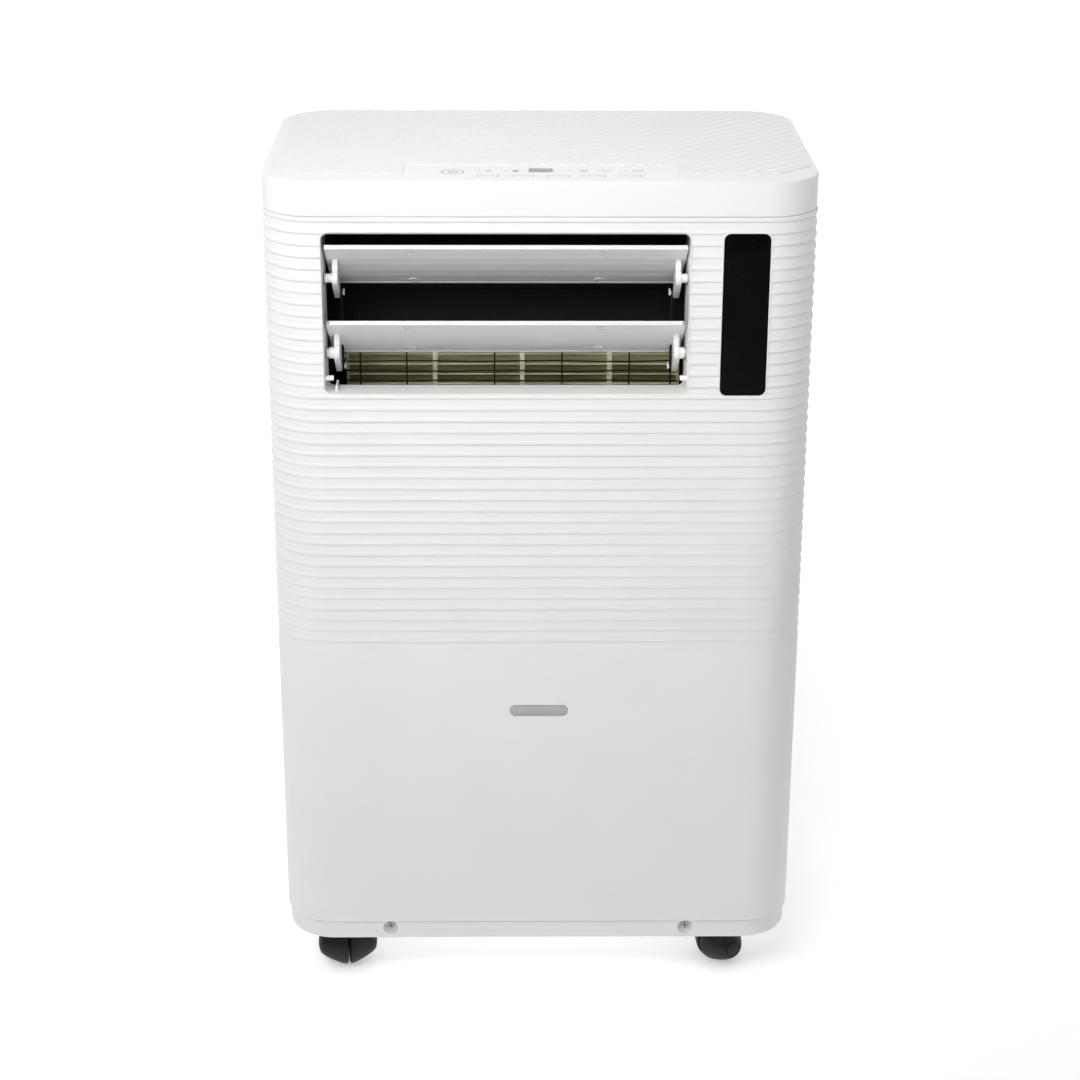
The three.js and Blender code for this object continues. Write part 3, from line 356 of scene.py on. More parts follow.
def finish(name, colour, roughness, drift=0.03, drift_size=60.0, grain=0.12, grain_size=0.9,
           stretch=(1, 1, 1), metallic=0.0, **sockets):
    """Surface whose colour drifts between two near shades over a fine moulded or drawn grain."""
    made = bpy.data.materials.new(name)
    made.use_nodes = True
    tree = made.node_tree
    shader = tree.nodes["Principled BSDF"]
    shader.inputs["Metallic"].default_value = metallic
    for socket, value in sockets.items():
        shader.inputs[socket.replace("_", " ")].default_value = value
    place = tree.nodes.new("ShaderNodeMapping")
    place.inputs["Scale"].default_value = stretch
    tree.links.new(own_place(tree), place.inputs["Vector"])
    ramp = tree.nodes.new("ShaderNodeValToRGB")
    shades = [(0.3, 1 - drift), (0.7, 1 + drift)]
    for element, (position, share) in zip(ramp.color_ramp.elements, shades):
        element.position = position
        element.color = (*[min(1, c * share) for c in colour], 1)
    tree.links.new(add_noise(tree, place.outputs["Vector"], drift_size), ramp.inputs["Fac"])
    tree.links.new(ramp.outputs["Color"], shader.inputs["Base Color"])
    fine = add_noise(tree, place.outputs["Vector"], grain_size)
    bump = tree.nodes.new("ShaderNodeBump")
    bump.inputs["Strength"].default_value = grain
    bump.inputs["Distance"].default_value = GRAIN_DEPTH * MM
    tree.links.new(fine, bump.inputs["Height"])
    tree.links.new(bump.outputs["Normal"], shader.inputs["Normal"])
    gloss = tree.nodes.new("ShaderNodeMapRange")
    gloss.inputs["To Min"].default_value = roughness * (1 - GLOSS_DRIFT)
    gloss.inputs["To Max"].default_value = roughness * (1 + GLOSS_DRIFT)
    tree.links.new(fine, gloss.inputs["Value"])
    tree.links.new(gloss.outputs["Result"], shader.inputs["Roughness"])
    return made


def shade_over(made, share, shade):
    """Lays a second shade over the base colour, as much as a socket says."""
    tree = made.node_tree
    base = tree.nodes["Principled BSDF"].inputs["Base Color"]
    mix = tree.nodes.new("ShaderNodeMix")
    mix.data_type = "RGBA"
    mix.inputs[7].default_value = (*shade, 1)
    tree.links.new(share, mix.inputs[0])
    tree.links.new(base.links[0].from_socket, mix.inputs[6])
    tree.links.new(mix.outputs[2], base)


def banded(made, pitch, axis, shade):
    """Adds fine parallel bands across one axis: for packed fins the dark bands are painted shade between
    the fins; for a woven thread they are its pattern.
    """
    tree = made.node_tree
    normal = tree.nodes["Principled BSDF"].inputs["Normal"]
    wave = tree.nodes.new("ShaderNodeTexWave")
    wave.bands_direction = axis
    wave.inputs["Scale"].default_value = math.pi / (10 * pitch * MM)
    tree.links.new(own_place(tree), wave.inputs["Vector"])
    shade_over(made, wave.outputs["Fac"], shade)
    bump = tree.nodes.new("ShaderNodeBump")
    bump.inputs["Strength"].default_value = 0.6
    bump.inputs["Distance"].default_value = BAND_DEPTH * MM
    bump.invert = True
    tree.links.new(wave.outputs["Fac"], bump.inputs["Height"])
    tree.links.new(normal.links[0].from_socket, bump.inputs["Normal"])
    tree.links.new(bump.outputs["Normal"], normal)
    return made


def specked(made, size, amount, shade):
    """Adds sparse specks, such as dust."""
    tree = made.node_tree
    cut = tree.nodes.new("ShaderNodeValToRGB")
    cut.color_ramp.elements[0].position = amount
    cut.color_ramp.elements[1].position = amount + 0.04
    tree.links.new(add_noise(tree, own_place(tree), size, 1), cut.inputs["Fac"])
    shade_over(made, cut.outputs["Color"], shade)
    return made


LOOKS = {
    "white": (finish("satin_white_plastic", (0.80, 0.80, 0.79), 0.42, drift=0.012), "white_plastic"),
    # The sleeve look is a brighter copy of the white plastic: painted light, for the lit outlet sill and
    # the ridge ends.
    "sleeve": (finish("white_plastic_painted_light", (0.93, 0.93, 0.92), 0.4, drift=0.01), "white_plastic"),
    "cover": (finish("cover_white_plastic", (0.81, 0.812, 0.805), 0.36, drift=0.01), "cover_plastic"),
    "pale": (finish("plain_pale_plastic", (0.68, 0.68, 0.66), 0.5), "pale_plastic"),
    "black": (finish("black_moulded_plastic", (0.006, 0.006, 0.0065), 0.6, drift=0.2,
                     Specular_IOR_Level=0.25), "black_plastic"),
    "wheel": (finish("black_wheel_plastic", (0.013, 0.012, 0.011), 0.5, drift=0.2, grain=0.25,
                     Specular_IOR_Level=0.3), "black_plastic"),
    "glass": (specked(finish("black_gloss_window", (0.003, 0.003, 0.0035), 0.08, grain=0.02, drift=0.2,
                             Specular_IOR_Level=0.04), 1.1, 0.74, (0.03, 0.03, 0.028)), "gloss_black"),
    "grey": (finish("grey_printed_plastic", (0.29, 0.29, 0.27), 0.35), "grey_plastic"),
    "badge": (finish("badge_plastic", (0.42, 0.42, 0.41), 0.3, metallic=0.2), "grey_plastic"),
    "ink": (finish("grey_ink", (0.17, 0.17, 0.16), 0.5), "cover_plastic"),
    "lamp": (finish("unlit_lamp", (0.33, 0.20, 0.17), 0.3), "cover_plastic"),
    "fan": (finish("olive_fan_plastic", (0.56, 0.53, 0.31), 0.55, drift=0.3, drift_size=3, grain=0.4,
                   stretch=(0.06, 1, 1)), "fan_plastic"),
    # Paler copy of the fan plastic: painted light on the rims of the middle discs.
    "disc": (finish("fan_disc_painted_light", (0.80, 0.78, 0.60), 0.6, drift=0.15, drift_size=5), "fan_plastic"),
    # The dark bands on the fin foil are painted shade between packed fins.
    "foil": (banded(finish("fin_foil", (0.62, 0.63, 0.64), 0.34, metallic=0.9), 1.6, "X",
                    (0.06, 0.06, 0.065)), "fin_foil"),
    "copper": (finish("drawn_copper", (0.72, 0.33, 0.19), 0.28, metallic=1.0, drift=0.15,
                      drift_size=18), "copper_tube"),
    "steel": (finish("plated_steel", (0.58, 0.59, 0.60), 0.34, metallic=1.0, drift=0.08, grain=0.3,
                     stretch=(1, 1, 0.15)), "plated_steel"),
    "enamel": (finish("black_enamel", (0.016, 0.016, 0.018), 0.3, drift=0.2, grain=0.3, grain_size=2.5,
                      Coat_Weight=0.5, Coat_Roughness=0.2), "black_enamel"),
    "rubber": (finish("soft_rubber", (0.02, 0.02, 0.02), 0.85, drift=0.2, grain=0.4), "black_rubber"),
    "board": (specked(finish("coated_board", (0.02, 0.11, 0.05), 0.4, drift=0.2, drift_size=9), 3.5, 0.6,
                      (0.10, 0.30, 0.16)), "circuit_board"),
    "mesh": (banded(banded(finish("filter_weave", (0.03, 0.032, 0.035), 0.8), 1.2, "X", (0.10, 0.10, 0.11)),
                    1.2, "Z", (0.008, 0.008, 0.009)), "filter_mesh"),
}


# ---- cabinet skins ----
def plan_arc(quarter, steps=12):
    """Plan points and outward normals of one corner: 0 is the rear right, then anticlockwise."""
    cx = HALF - CORNER if quarter in (0, 3) else CORNER - HALF
    cy = DEPTH - CORNER if quarter < 2 else CORNER
    turns = [math.radians(90 * (quarter + i / steps)) for i in range(steps + 1)]
    return [(cx + CORNER * math.cos(t), cy + CORNER * math.sin(t), math.cos(t), math.sin(t)) for t in turns]


def plan_ring(inset, height):
    """The cabinet's outline at a height, drawn in by inset."""
    points = [p for quarter in range(4) for p in plan_arc(quarter)]
    return [(x - nx * inset, y - ny * inset, height) for x, y, nx, ny in points]


def skin(path, rows):
    """Closed moulded wall along a plan path of (x, y, nx, ny, rib share), from (height, depth) rows."""
    rings = []
    for x, y, nx, ny, share in path:
        outer = [(PROUD - depth * share, height) for height, depth in rows]
        ring = outer + [(-WALL, rows[-1][0]), (-WALL, rows[0][0])]
        rings.append([(x + nx * out, y + ny * out, height) for out, height in ring])
    return loft(rings)


def rib_rows():
    """One row per (height, depth behind the crest): a raised bead with a soft top over a hollowed face."""
    hollow = [(0, 0.15), (0.12, 0.7), (0.4, 1.15), (0.85, 1.02), (5, 0.8), (5.4, 0.75), (6, 0.58),
              (6.9, 0.12), (7.3, 0)]
    rows = [(below(SKIRT + GAP), 0.6), (below(SKIRT + GAP + 0.3), 0.15), (below(SKIRT + GAP + 0.8), 0)]
    for k in range(RIB_COUNT):
        rows.append((below(RIB_FIRST + k * RIB_PITCH - 0.35), 0.0))
        rows += [(below(RIB_FIRST + k * RIB_PITCH + drop), depth) for drop, depth in hollow]
    return rows + [(SEAM + GAP + 0.6, 0), (SEAM + GAP + 0.15, 0.15), (SEAM + GAP, 0.5)]


def front_panel():
    """Ribbed front with its openings, their raised rims, and the sleeve that lines the outlet."""
    path = [(*p, 1) for p in plan_arc(3)[::-1] + plan_arc(2)[::-1]]
    badge = extent("blank_badge")
    pocket = outline_of(badge, (badge[1].z - badge[0].z) / 2, grow=GAP)
    tools = [prism("y", opening(OUTLET, 0.6), -9, 9), prism("y", opening(WINDOW, 0.8), -9, 9)]
    tools.append(prism("y", pocket, -9, 0.25))
    tools += [lathe("y", centre(node), [(6, -9), (6, 8)]) for node in SCREWS]
    make("front_moulding", carved(skin(path, rib_rows()), *tools), "white", "front_panel")
    face, deep = -PROUD, 2.2
    rim = [(1.2, deep), (1.2, face + 0.35), (0.95, face), (0.45, face), (0, face + 0.5), (0, deep)]
    make("outlet_rim", framing(OUTLET, rim), "white")
    # The sleeve takes the brighter copy of the white plastic: painted light on its sill.
    make("outlet_sleeve", outlet_sleeve(), "sleeve")
    # Black discs on the sleeve walls round the blade pivots: painted shade standing for the dark of the
    # pivot holes.
    bores = [
        lathe("x", (PIVOT_Y, joint(name)[1].z), [(radius, a), (radius, a + 1.3)], 40)
        for name, radius in (("louvre_swing", 5.4), ("louvre_lower_swing", 5.6))
        for a in (OUTLET["left"] - 0.6, OUTLET["right"] - 0.7)
    ]
    make("outlet_pivot_hole_painted_shade", merge(*bores), "black")
    rim = [(1.3, deep), (1.3, face + 0.3), (1, face + 0.1), (0.4, face + 0.1), (0.15, face + 0.35),
           (0.15, deep)]
    make("window_rim", framing(WINDOW, rim), "white")


def outlet_sleeve():
    """Two sides and the sill of the outlet, narrowing a little to the rear, with its small stop pegs."""
    deep = 26
    top = OUTLET["top"] - OUTLET["radius"]
    reach = [p for p in opening(OUTLET) if p[1] < top]
    route = [(OUTLET["left"], top)] + reach + [(OUTLET["right"], top)]
    rings = []
    for i, (x, z) in enumerate(route):
        ahead = Vector(route[min(i + 1, len(route) - 1)]) - Vector(route[max(i - 1, 0)])
        out = Vector((ahead.y, -ahead.x)).normalized()
        fall = max(0, -out.y) * 1.2 - abs(out.x) * 1.4
        section = [(0, 1), (2, 1), (2 + fall, deep - 0.4), (1.6 + fall, deep), (0.2 + fall, deep),
                   (fall, deep - 0.5)]
        rings.append([(x + out.x * o, depth, z + out.y * o) for o, depth in section])
    peg = (7, below(152.6))
    pegs = [lathe("x", peg, [(0, inner), (1.7, inner), (2, inner + side * 0.4), (2, outer)], 24)
            for side, inner, outer in ((-1, -156.2, -163.4), (1, 105.8, 111.7))]
    rib = eased(slab((-155.2, -153.4), (7, 22), (below(164), below(158.7))), 0.5)
    return merge(loft(rings), *pegs, rib)


def rear_shell():
    """Plain back with ribbed sides, bored for the fittings."""
    start = extent("rear_shell")[0].y
    side = [(HALF, start, 1, 0, 1), (HALF, RIB_END - 9, 1, 0, 1), (HALF, RIB_END - 1, 1, 0, 0)]
    back = [(*p, 0) for p in plan_arc(0) + plan_arc(1)]
    path = side + back + [(-x, y, -nx, ny, share) for x, y, nx, ny, share in reversed(side)]
    near, far = 250, 270
    tools = [prism("y", outline_of(extent(node), 2, grow=grow), near, far)
             for node, grow in (("intake_grille", 0.6), ("condenser_grille", 0.3))]
    bores = {"hose_collar": 65.4, "drain_plug_middle": 5, "drain_plug_bottom": 5, "cord_gland": 6.3}
    tools += [lathe("y", centre(node), [(radius, near), (radius, far)], 64)
              for node, radius in bores.items()]
    tools += [prism("x", outline_of(extent(node), 5, "x"), inner, outer)
              for node, inner, outer in (("handle_cup_left", -212, -200), ("handle_cup_right", 200, 212))]
    make("rear_moulding", carved(skin(path, rib_rows()), *tools), "white", "rear_shell")


# ---- top cover and keys ----
def top_cover():
    """Cap with a rounded edge, the sunk field of ridges, and openings for the keys."""
    edge = 1.8
    rows = [(WALL, RIM - 3), (WALL, below(SKIRT)), (0.3, below(SKIRT)), (0, below(SKIRT) + 0.3)]
    rows += arc(edge, RIM - edge, edge, 180, 90, 6)
    cover = loft([plan_ring(inset, height) for inset, height in rows])
    tools = [prism("z", ridge_field_outline(), RIM - POCKET, RIM + 5)]
    tools += [prism("z", key_outline(node, 0.12), RIM - 9, RIM + 5) for node in KEYS + ["display_lens"]]
    tools.append(lathe("z", centre("power_key", "z"), [(8.85, RIM - 9), (8.85, RIM + 5)], 72))
    make("cover_moulding", carved(cover, *tools), "cover", "top_cover")
    lip = field_loft([(0, RIM - POCKET), (0, RIM), (0.35, RIM + 0.4)])
    lip = carved(lip, prism("z", ridge_field_outline(0.65), RIM - 3, RIM + 5))
    make("cover_field_lip", lip, "cover")
    bound = field_loft([(0.1, RIM - 2.2), (0.1, RIM - 0.1), (1.3, RIM + 1.1)])
    make("cover_ridges", carved(ridge_board(), bound, operation="INTERSECT"), "cover", angle=24)
    # The noses take the brighter white: a painted highlight on the ridge ends.
    make("cover_ridge_noses", ridge_noses(), "sleeve")


def ridge_field_outline(inset=0.0):
    """Plan of the ridged field: cut off along a ridge at the front right, notched for the key strip."""
    edge, front, radius = FIELD_SIDE + inset, FIELD_FRONT + inset, FIELD_RADIUS - inset
    notch, back = NOTCH_HALF + inset, NOTCH_BACK + inset
    side = HALF - edge
    last = RIDGE_END - inset * math.tan(math.radians(22.5))
    return (
        arc(-side + radius, front + radius, radius, 180, 270)
        + [(-notch, front), (-notch, back), (notch, back), (notch, front)]
        + [(last, front), (side, front + side - last)]
        + arc(side - radius, DEPTH - edge - radius, radius, 0, 90)
        + arc(-side + radius, DEPTH - edge - radius, radius, 90, 180)
    )


def field_loft(rows):
    """Solid over the ridged field through (inset, height) rows."""
    return loft([[(x, y, height) for x, y in ridge_field_outline(inset)] for inset, height in rows])


def ridge_board():
    """Board of broad round ridges parted by narrow grooves, lying from the front left to the rear right."""
    high = extent("top_cover")[1].z - 0.05
    fall = [(0, 0), (0.12, 0.05), (0.24, 0.18), (0.34, 0.42), (0.42, 0.86), (0.5, 1.4)]
    ridge = fall + [(1 - share, drop) for share, drop in fall[-2:0:-1]]
    count = int(2 * (HALF + DEPTH) / RIDGE_PITCH)
    start = LAST_CREST - count * RIDGE_PITCH
    top = [(start + (i + share) * RIDGE_PITCH, high - drop)
           for i in range(count + 2) for share, drop in ridge]
    section = top + [(top[-1][0], RIM - 3), (top[0][0], RIM - 3)]
    return loft([[(a + y, y, z) for a, z in section] for y in (0, DEPTH)])


def ridge_noses():
    """Small rounded noses that finish the ridges along the front, the key strip and the left side. Their
    brighter white is a painted highlight on the ridge ends.
    """
    high = extent("top_cover")[1].z - 0.03
    left = FIELD_SIDE - HALF
    noses = []
    for k in range(40):
        crest = LAST_CREST - k * RIDGE_PITCH
        front, strip, side = crest + FIELD_FRONT, crest + NOTCH_BACK, left - crest
        spans = []
        if -174 < front < -103 or 103 < front < RIDGE_END:
            spans.append(((front - 1.8, front + 1.8), (FIELD_FRONT + 0.05, FIELD_FRONT + 1.5)))
        if abs(strip) < 99:
            spans.append(((strip - 1.8, strip + 1.8), (NOTCH_BACK + 0.05, NOTCH_BACK + 1.5)))
        if 62 < side < 220:
            spans.append(((left + 0.05, left + 1.4), (side - 1.6, side + 1.6)))
        noses += [eased(slab(x, y, (RIM - 1, high)), 0.4) for x, y in spans]
    return merge(*noses)


def key_outline(node, grow=0.0):
    """Cap of a key inside its flange."""
    lip = 1.5 if node == "display_lens" else 1.2
    return outline_of(extent(node), 0.8 + grow, "z", grow - lip, 4)


def printed(outlines):
    """Flat marks a hair above the rim."""
    return merge(*[prism("z", outline, RIM - 0.05, RIM + 0.03) for outline in outlines])


def stroke(x0, y0, x1, y1, width=0.35):
    """Outline of a straight printed line."""
    ahead = Vector((x1 - x0, y1 - y0)).normalized() * width / 2
    side = Vector((-ahead.y, ahead.x))
    corners = [(-ahead - side), (ahead - side), (ahead + side), (-ahead + side)]
    ends = [(x0, y0), (x1, y1), (x1, y1), (x0, y0)]
    return [(x + c.x, y + c.y) for (x, y), c in zip(ends, corners)]


def spokes(x, y, count, inner, outer, width=0.4):
    turns = [TURN * i / count for i in range(count)]
    return [stroke(*polar(x, y, inner, t), *polar(x, y, outer, t), width) for t in turns]


def band(x, y, radius, width, start, end, steps=24):
    """Outlines of a printed arc, in short straight pieces."""
    inner = arc(x, y, radius - width / 2, start, end, steps)
    outer = arc(x, y, radius + width / 2, start, end, steps)
    return [[inner[i], outer[i], outer[i + 1], inner[i + 1]] for i in range(steps)]


def flanged(node, radius, ease):
    """Cap with eased edges on a wider flange that keeps it under the cover."""
    low, high = extent(node)
    flange = prism("z", outline_of((low, high), radius, "z", steps=4), low.z, low.z + 1)
    top = high.z if node == "display_lens" else high.z - 0.02
    return merge(flange, eased(prism("z", key_outline(node), low.z, top), ease))


def keys():
    for node in KEYS:
        make(f"{node}_cap", flanged(node, 1.5, 0.15), "cover", node, body=node)
        x, y = centre(node, "z")
        marks = []
        for side in (-1, 1):
            end = x + side * 8.2
            for edge in (-1, 1):
                marks.append(stroke(end, y + edge, end, y + edge * 2.6))
                marks.append(stroke(end, y + edge * 2.6, end - side * 1.6, y + edge * 2.6))
        marks += [stroke(x + shift - 1.3, y, x + shift + 1.3, y, 0.6) for shift in (-4, 0, 4)]
        make(f"{node}_mark", printed(marks), "ink", body=node)
    x, y = centre("power_key", "z")
    low, high = extent("power_key")
    body = [(9.7, low.z), (9.7, low.z + 1), (8.6, low.z + 1.2), (8.5, high.z - 0.2), (8.3, high.z - 0.02)]
    make("power_key_cap", lathe("z", (x, y), body, 72), "cover", "power_key", body="power_key")
    ring = band(x, y, 8, 0.55, 0, 360, 48)
    ring += band(x, y, 3.1, 0.9, 130, 410) + [stroke(x, y + 1, x, y + 4.4, 0.9)]
    make("power_key_mark", printed(ring), "ink", body="power_key")
    make("display_pane", flanged("display_lens", 1, 0.2), "grey", "display_lens")


def strip_marks():
    """Lamps and generic pictures printed on the strip between the keys."""
    lamps = [prism("z", rounded(x - 1.1, x + 1.1, 35.6, 36.9, 0.6, 4), RIM - 0.3, RIM + 0.03)
             for x in (-46, -25.2, 22.4, 43, 63.5)]
    make("strip_lamps", merge(*lamps), "lamp")
    y = 35
    pictures = spokes(-38.8, y, 6, 0.6, 3) + spokes(-18.7, y, 9, 0, 2.2, 0.9)
    pictures += band(32.1, y, 1.5, 0.5, 0, 360) + spokes(32.1, y, 8, 2.2, 3.2, 0.45)
    for shift in (-2.6, 0, 2.6):
        pictures += band(49.7 + shift, y, 1.3, 0.5, 20, 200, 8)
    pictures += band(72.8, y - 2, 4.2, 0.5, 20, 160, 12) + [stroke(69, y - 1.6, 76.6, y - 1.6, 0.5)]
    make("strip_pictures", printed(pictures), "ink")
    make("key_board_laminate", eased(cad_shape("key_board"), 0.3), "board", "key_board")


# ---- base ----
def base_pan():
    """Shallow pan with a soft lower edge, and bosses for the two screws and the four casters."""
    edge, step = 2.5, 1.2
    low, high = BASE + 1, SEAM - 0.6
    rows = arc(step + edge, BASE + edge, edge, 270, 180, 6)
    rows += [(step, SEAM - 1), (step + 0.4, high), (step + 3, high), (step + 3, BASE + 3)]
    pocket = [(6, -9), (6, 1.5), (5.6, 4), (4, 6.4), (2.2, 6.4), (2.2, 14)]
    tools = [lathe("y", centre(node), pocket) for node in SCREWS]
    tools += [lathe("z", spot(name), [(4.4, BASE - 2), (4.4, SEAM - 1)]) for name in CASTERS]
    middles = [centre(node)[0] for node in SCREWS]
    bosses = [slab((x - 9, x + 9), (1, 15.5), (low, SEAM - 0.5)) for x in middles]
    bosses += [lathe("z", spot(name), [(9, low), (9, SEAM)], 32) for name in CASTERS]
    pan = loft([plan_ring(inset, height) for inset, height in rows])
    solid = carved(pan, *bosses, operation="UNION")
    make("base_moulding", carved(solid, *tools), "white", "base_pan")


def base_screws():
    """Domed cross-slotted heads, with black sheets down in the slots as painted shade."""
    for node in SCREWS:
        x, z = centre(node)
        front = extent(node)[0].y
        profile = [(0, 0), (1.5, 0.1), (2.5, 0.5), (3, 1.3), (3, 2.4), (2, 2.4), (2, 9), (0, 9.1)]
        head = lathe("y", (x, z), [(radius, front + deep) for radius, deep in profile], 40)
        slots = [prism("y", rounded(x - dx, x + dx, z - dz, z + dz, 0.2, 3), front - 1, front + 1.3)
                 for dx, dz in ((2, 0.42), (0.42, 2))]
        make(f"{node}_head", carved(head, *slots), "steel", node)
        # Black sheets near the bottom of each slot: painted shade in the slots.
        slot_shades = [slab((x - dx, x + dx), (front + 1.1, front + 1.35), (z - dz, z + dz))
                  for dx, dz in ((1.9, 0.38), (0.38, 1.9))]
        make(f"{node}_recess", merge(*slot_shades), "black")


def spot(name):
    place = joint(f"caster_{name}_swivel")[1]
    return place.x, place.y


# ---- louvre blades ----
OPEN = math.radians(-130)
FACE = -14.5
PLATE = 2.5
LIP_LOW = -27
ARM_LEFT = -155.8
ARM_RIGHT = 105.4
ARM_THICK = 4.3
CRANK = 26.3
BLADES = {
    "louvre_upper": {
        "joint": "louvre_swing", "top": 34, "corner": 0.5, "wave": 0.12, "pin": 3.4,
        "marks": ((-98, -18.8), (45, -18.8), (-96.4, 28.7), (45.3, 28.7)),
    },
    "louvre_lower": {
        "joint": "louvre_lower_swing", "top": 26, "corner": 2.6, "wave": 0.04, "pin": 4.4,
        "marks": ((-99, -20), (45, -20), (-98, 18.6), (44.4, 18.6)),
    },
}


def opened(shape, node):
    """A blade's shape, drawn shut around its pivot, turned to where the blade rests."""
    drop = joint(BLADES[node]["joint"])[1].z
    return moved(shape, Matrix.Translation((0, PIVOT_Y, drop)) @ Matrix.Rotation(OPEN, 4, "X"))


def blade_plate(top, turn, wave):
    """Square front lip and a thin plate with shallow lengthwise flutes, narrowing towards its far edge."""
    left, right, taper, flute, cuts = -160.6, 109.4, 2.0, 10, 6
    inner, lip, start = FACE + PLATE, FACE + 3.5, LIP_LOW + 3
    section = [(FACE + 0.3, LIP_LOW), (lip - 0.3, LIP_LOW), (lip, LIP_LOW + 0.3), (lip, LIP_LOW + 1.2),
               (lip - 0.2, LIP_LOW + 1.8), (inner + 0.2, LIP_LOW + 2.2)]
    for k in range(int((top - 3 - start) * cuts / flute)):
        section.append((inner + wave * (1 - math.cos(TURN * k / cuts)), start + k * flute / cuts))
    section += [(inner, top - 2.4), (inner + 0.6, top - 1.4), (inner + 0.6, top - 0.3), (inner + 0.3, top),
                (FACE + 0.3, top), (FACE, top - 0.4)]
    section += [(FACE, LIP_LOW + height) for height in (6, 2.6, 1.7, 1, 0.3)]

    def narrowing(z):
        rise = z - LIP_LOW
        corner = turn - math.sqrt(max(0, turn ** 2 - (turn - min(rise, turn)) ** 2))
        return taper * rise / (top - LIP_LOW) + corner

    return loft([
        [(left + narrowing(z), y, z) for y, z in section],
        [(right - narrowing(z), y, z) for y, z in section],
    ])


def hook_tab(a, b):
    """Upright tab on the inner end of a link pin, which keeps the link bar on the pin."""
    tab = slab((min(a, b), max(a, b)), (-1.6, 1.6), (-1.6, 3.2))
    return moved(tab, Matrix.Translation((0, 0, CRANK)) @ Matrix.Rotation(-OPEN, 4, "X"))


def blade_fittings(thick):
    """Crank arms of a blade, and its pivot pins and link pins, at both ends."""
    inner = FACE + PLATE
    arm = [(inner - 0.4, -8), (-4, -5.5)] + arc(0, 0, 5.5, -130, 8) + arc(0, CRANK, 4, 0, 180)
    arm.append((inner - 0.4, 12))
    arms, pins = [], []
    for near, side in ((ARM_LEFT, -1), (ARM_RIGHT, 1)):
        far = near - side * ARM_THICK
        arms.append(eased(prism("x", arm, min(near, far), max(near, far)), 0.45))
        profile = [(thick, -1), (thick, 3.4), (3.4, 3.6), (3.4, 5.7), (3.1, 6)]
        pins.append(lathe("x", (0, 0), [(radius, near + side * out) for radius, out in profile], 32))
        hook = far - side * 3.4
        pins.append(lathe("x", (0, CRANK), [(1.5, far + side), (1.5, hook)], 24))
        pins.append(eased(hook_tab(far - side * 2.3, hook), 0.25))
    return merge(*arms), merge(*pins)


def witness_ring(x, z):
    """Faint round mark standing on a blade's inner face."""
    radius, inner = 3.6, FACE + PLATE
    ring = {"left": x - radius, "right": x + radius, "top": z + radius, "bottom": z - radius}
    section = [(0, inner - 0.2), (0, inner + 0.9), (-0.5, inner + 0.9), (-0.5, inner - 0.2)]
    return framing({**ring, "radius": radius - 0.01}, section, 12)


def louvres():
    for node, blade in BLADES.items():
        arms, pins = blade_fittings(blade["pin"])
        plate = blade_plate(blade["top"], blade["corner"], blade["wave"])
        rings = merge(*[witness_ring(x, z) for x, z in blade["marks"]])
        make(f"{node}_plate", opened(plate, node), "white", node, body=node, angle=24)
        make(f"{node}_arms", opened(arms, node), "white", body=node)
        make(f"{node}_pins", opened(pins, node), "white", body=node)
        make(f"{node}_witness_rings", opened(rings, node), "white", body=node)


def link_bars():
    for node in ("link_bar_left", "link_bar_right"):
        low, high = extent(node)
        middle, radius = (low.y + high.y) / 2, (high.y - low.y) / 2
        ends = (low.z + radius, high.z - radius)
        outline = arc(middle, ends[0], radius, 180, 360, 12) + arc(middle, ends[1], radius, 0, 180, 12)
        holes = [lathe("x", (middle, z), [(1.75, low.x - 1), (1.75, high.x + 1)], 24) for z in ends]
        bar = carved(prism("x", outline, low.x, high.x), *holes)
        make(f"{node}_strap", eased(bar, 0.22), "black", node, body="louvre_links")


def louvre_motor():
    low, high = extent("louvre_motor")
    z = joint("louvre_swing")[1].z
    start, end = low.x + 2, high.x
    y = PIVOT_Y + 8
    can = [(11.8, start), (12.8, start + 0.8), (13, start + 2), (13, end - 1.4), (12.4, end - 0.3),
           (11, end)]
    shaft = [(2.4, start + 0.5), (2.4, low.x + 0.4), (2, low.x)]
    ring = [(12.95, start + 8), (13, start + 8.3), (13, start + 9), (12.95, start + 9.3)]
    make("louvre_motor_can", lathe("x", (y, z), can), "steel", "louvre_motor")
    shaft = merge(lathe("x", (PIVOT_Y, z), shaft, 24), lathe("x", (y, z), ring))
    make("louvre_motor_shaft", shaft, "pale")


# ---- behind the louvres ----
def outlet_duct():
    low, high = extent("outlet_duct")
    deep = 26.5
    side = [(deep, below(168)), (84, below(192)), (84, below(35.5)), (WALL + GAP, below(35.5)),
            (WALL + GAP, below(37.5)), (deep, below(37.5))]
    hollow = [(0, below(165.5)), (deep, below(165.5)), (90, below(190.5)), (90, below(131)),
              (82, below(131)), (82, below(37.5)), (0, below(37.5))]
    liner = carved(prism("x", side, low.x, high.x), prism("x", hollow, low.x + 2, high.x - 2))
    make("outlet_liner", eased(liner, 0.35), "black", "outlet_duct")
    beads = [slab((low.x + 8, high.x - 8), (80.8, 82.2), (z - 0.8, z + 0.8))
             for z in map(below, (60, 82, 104))]
    make("outlet_liner_beads", merge(*beads), "black")


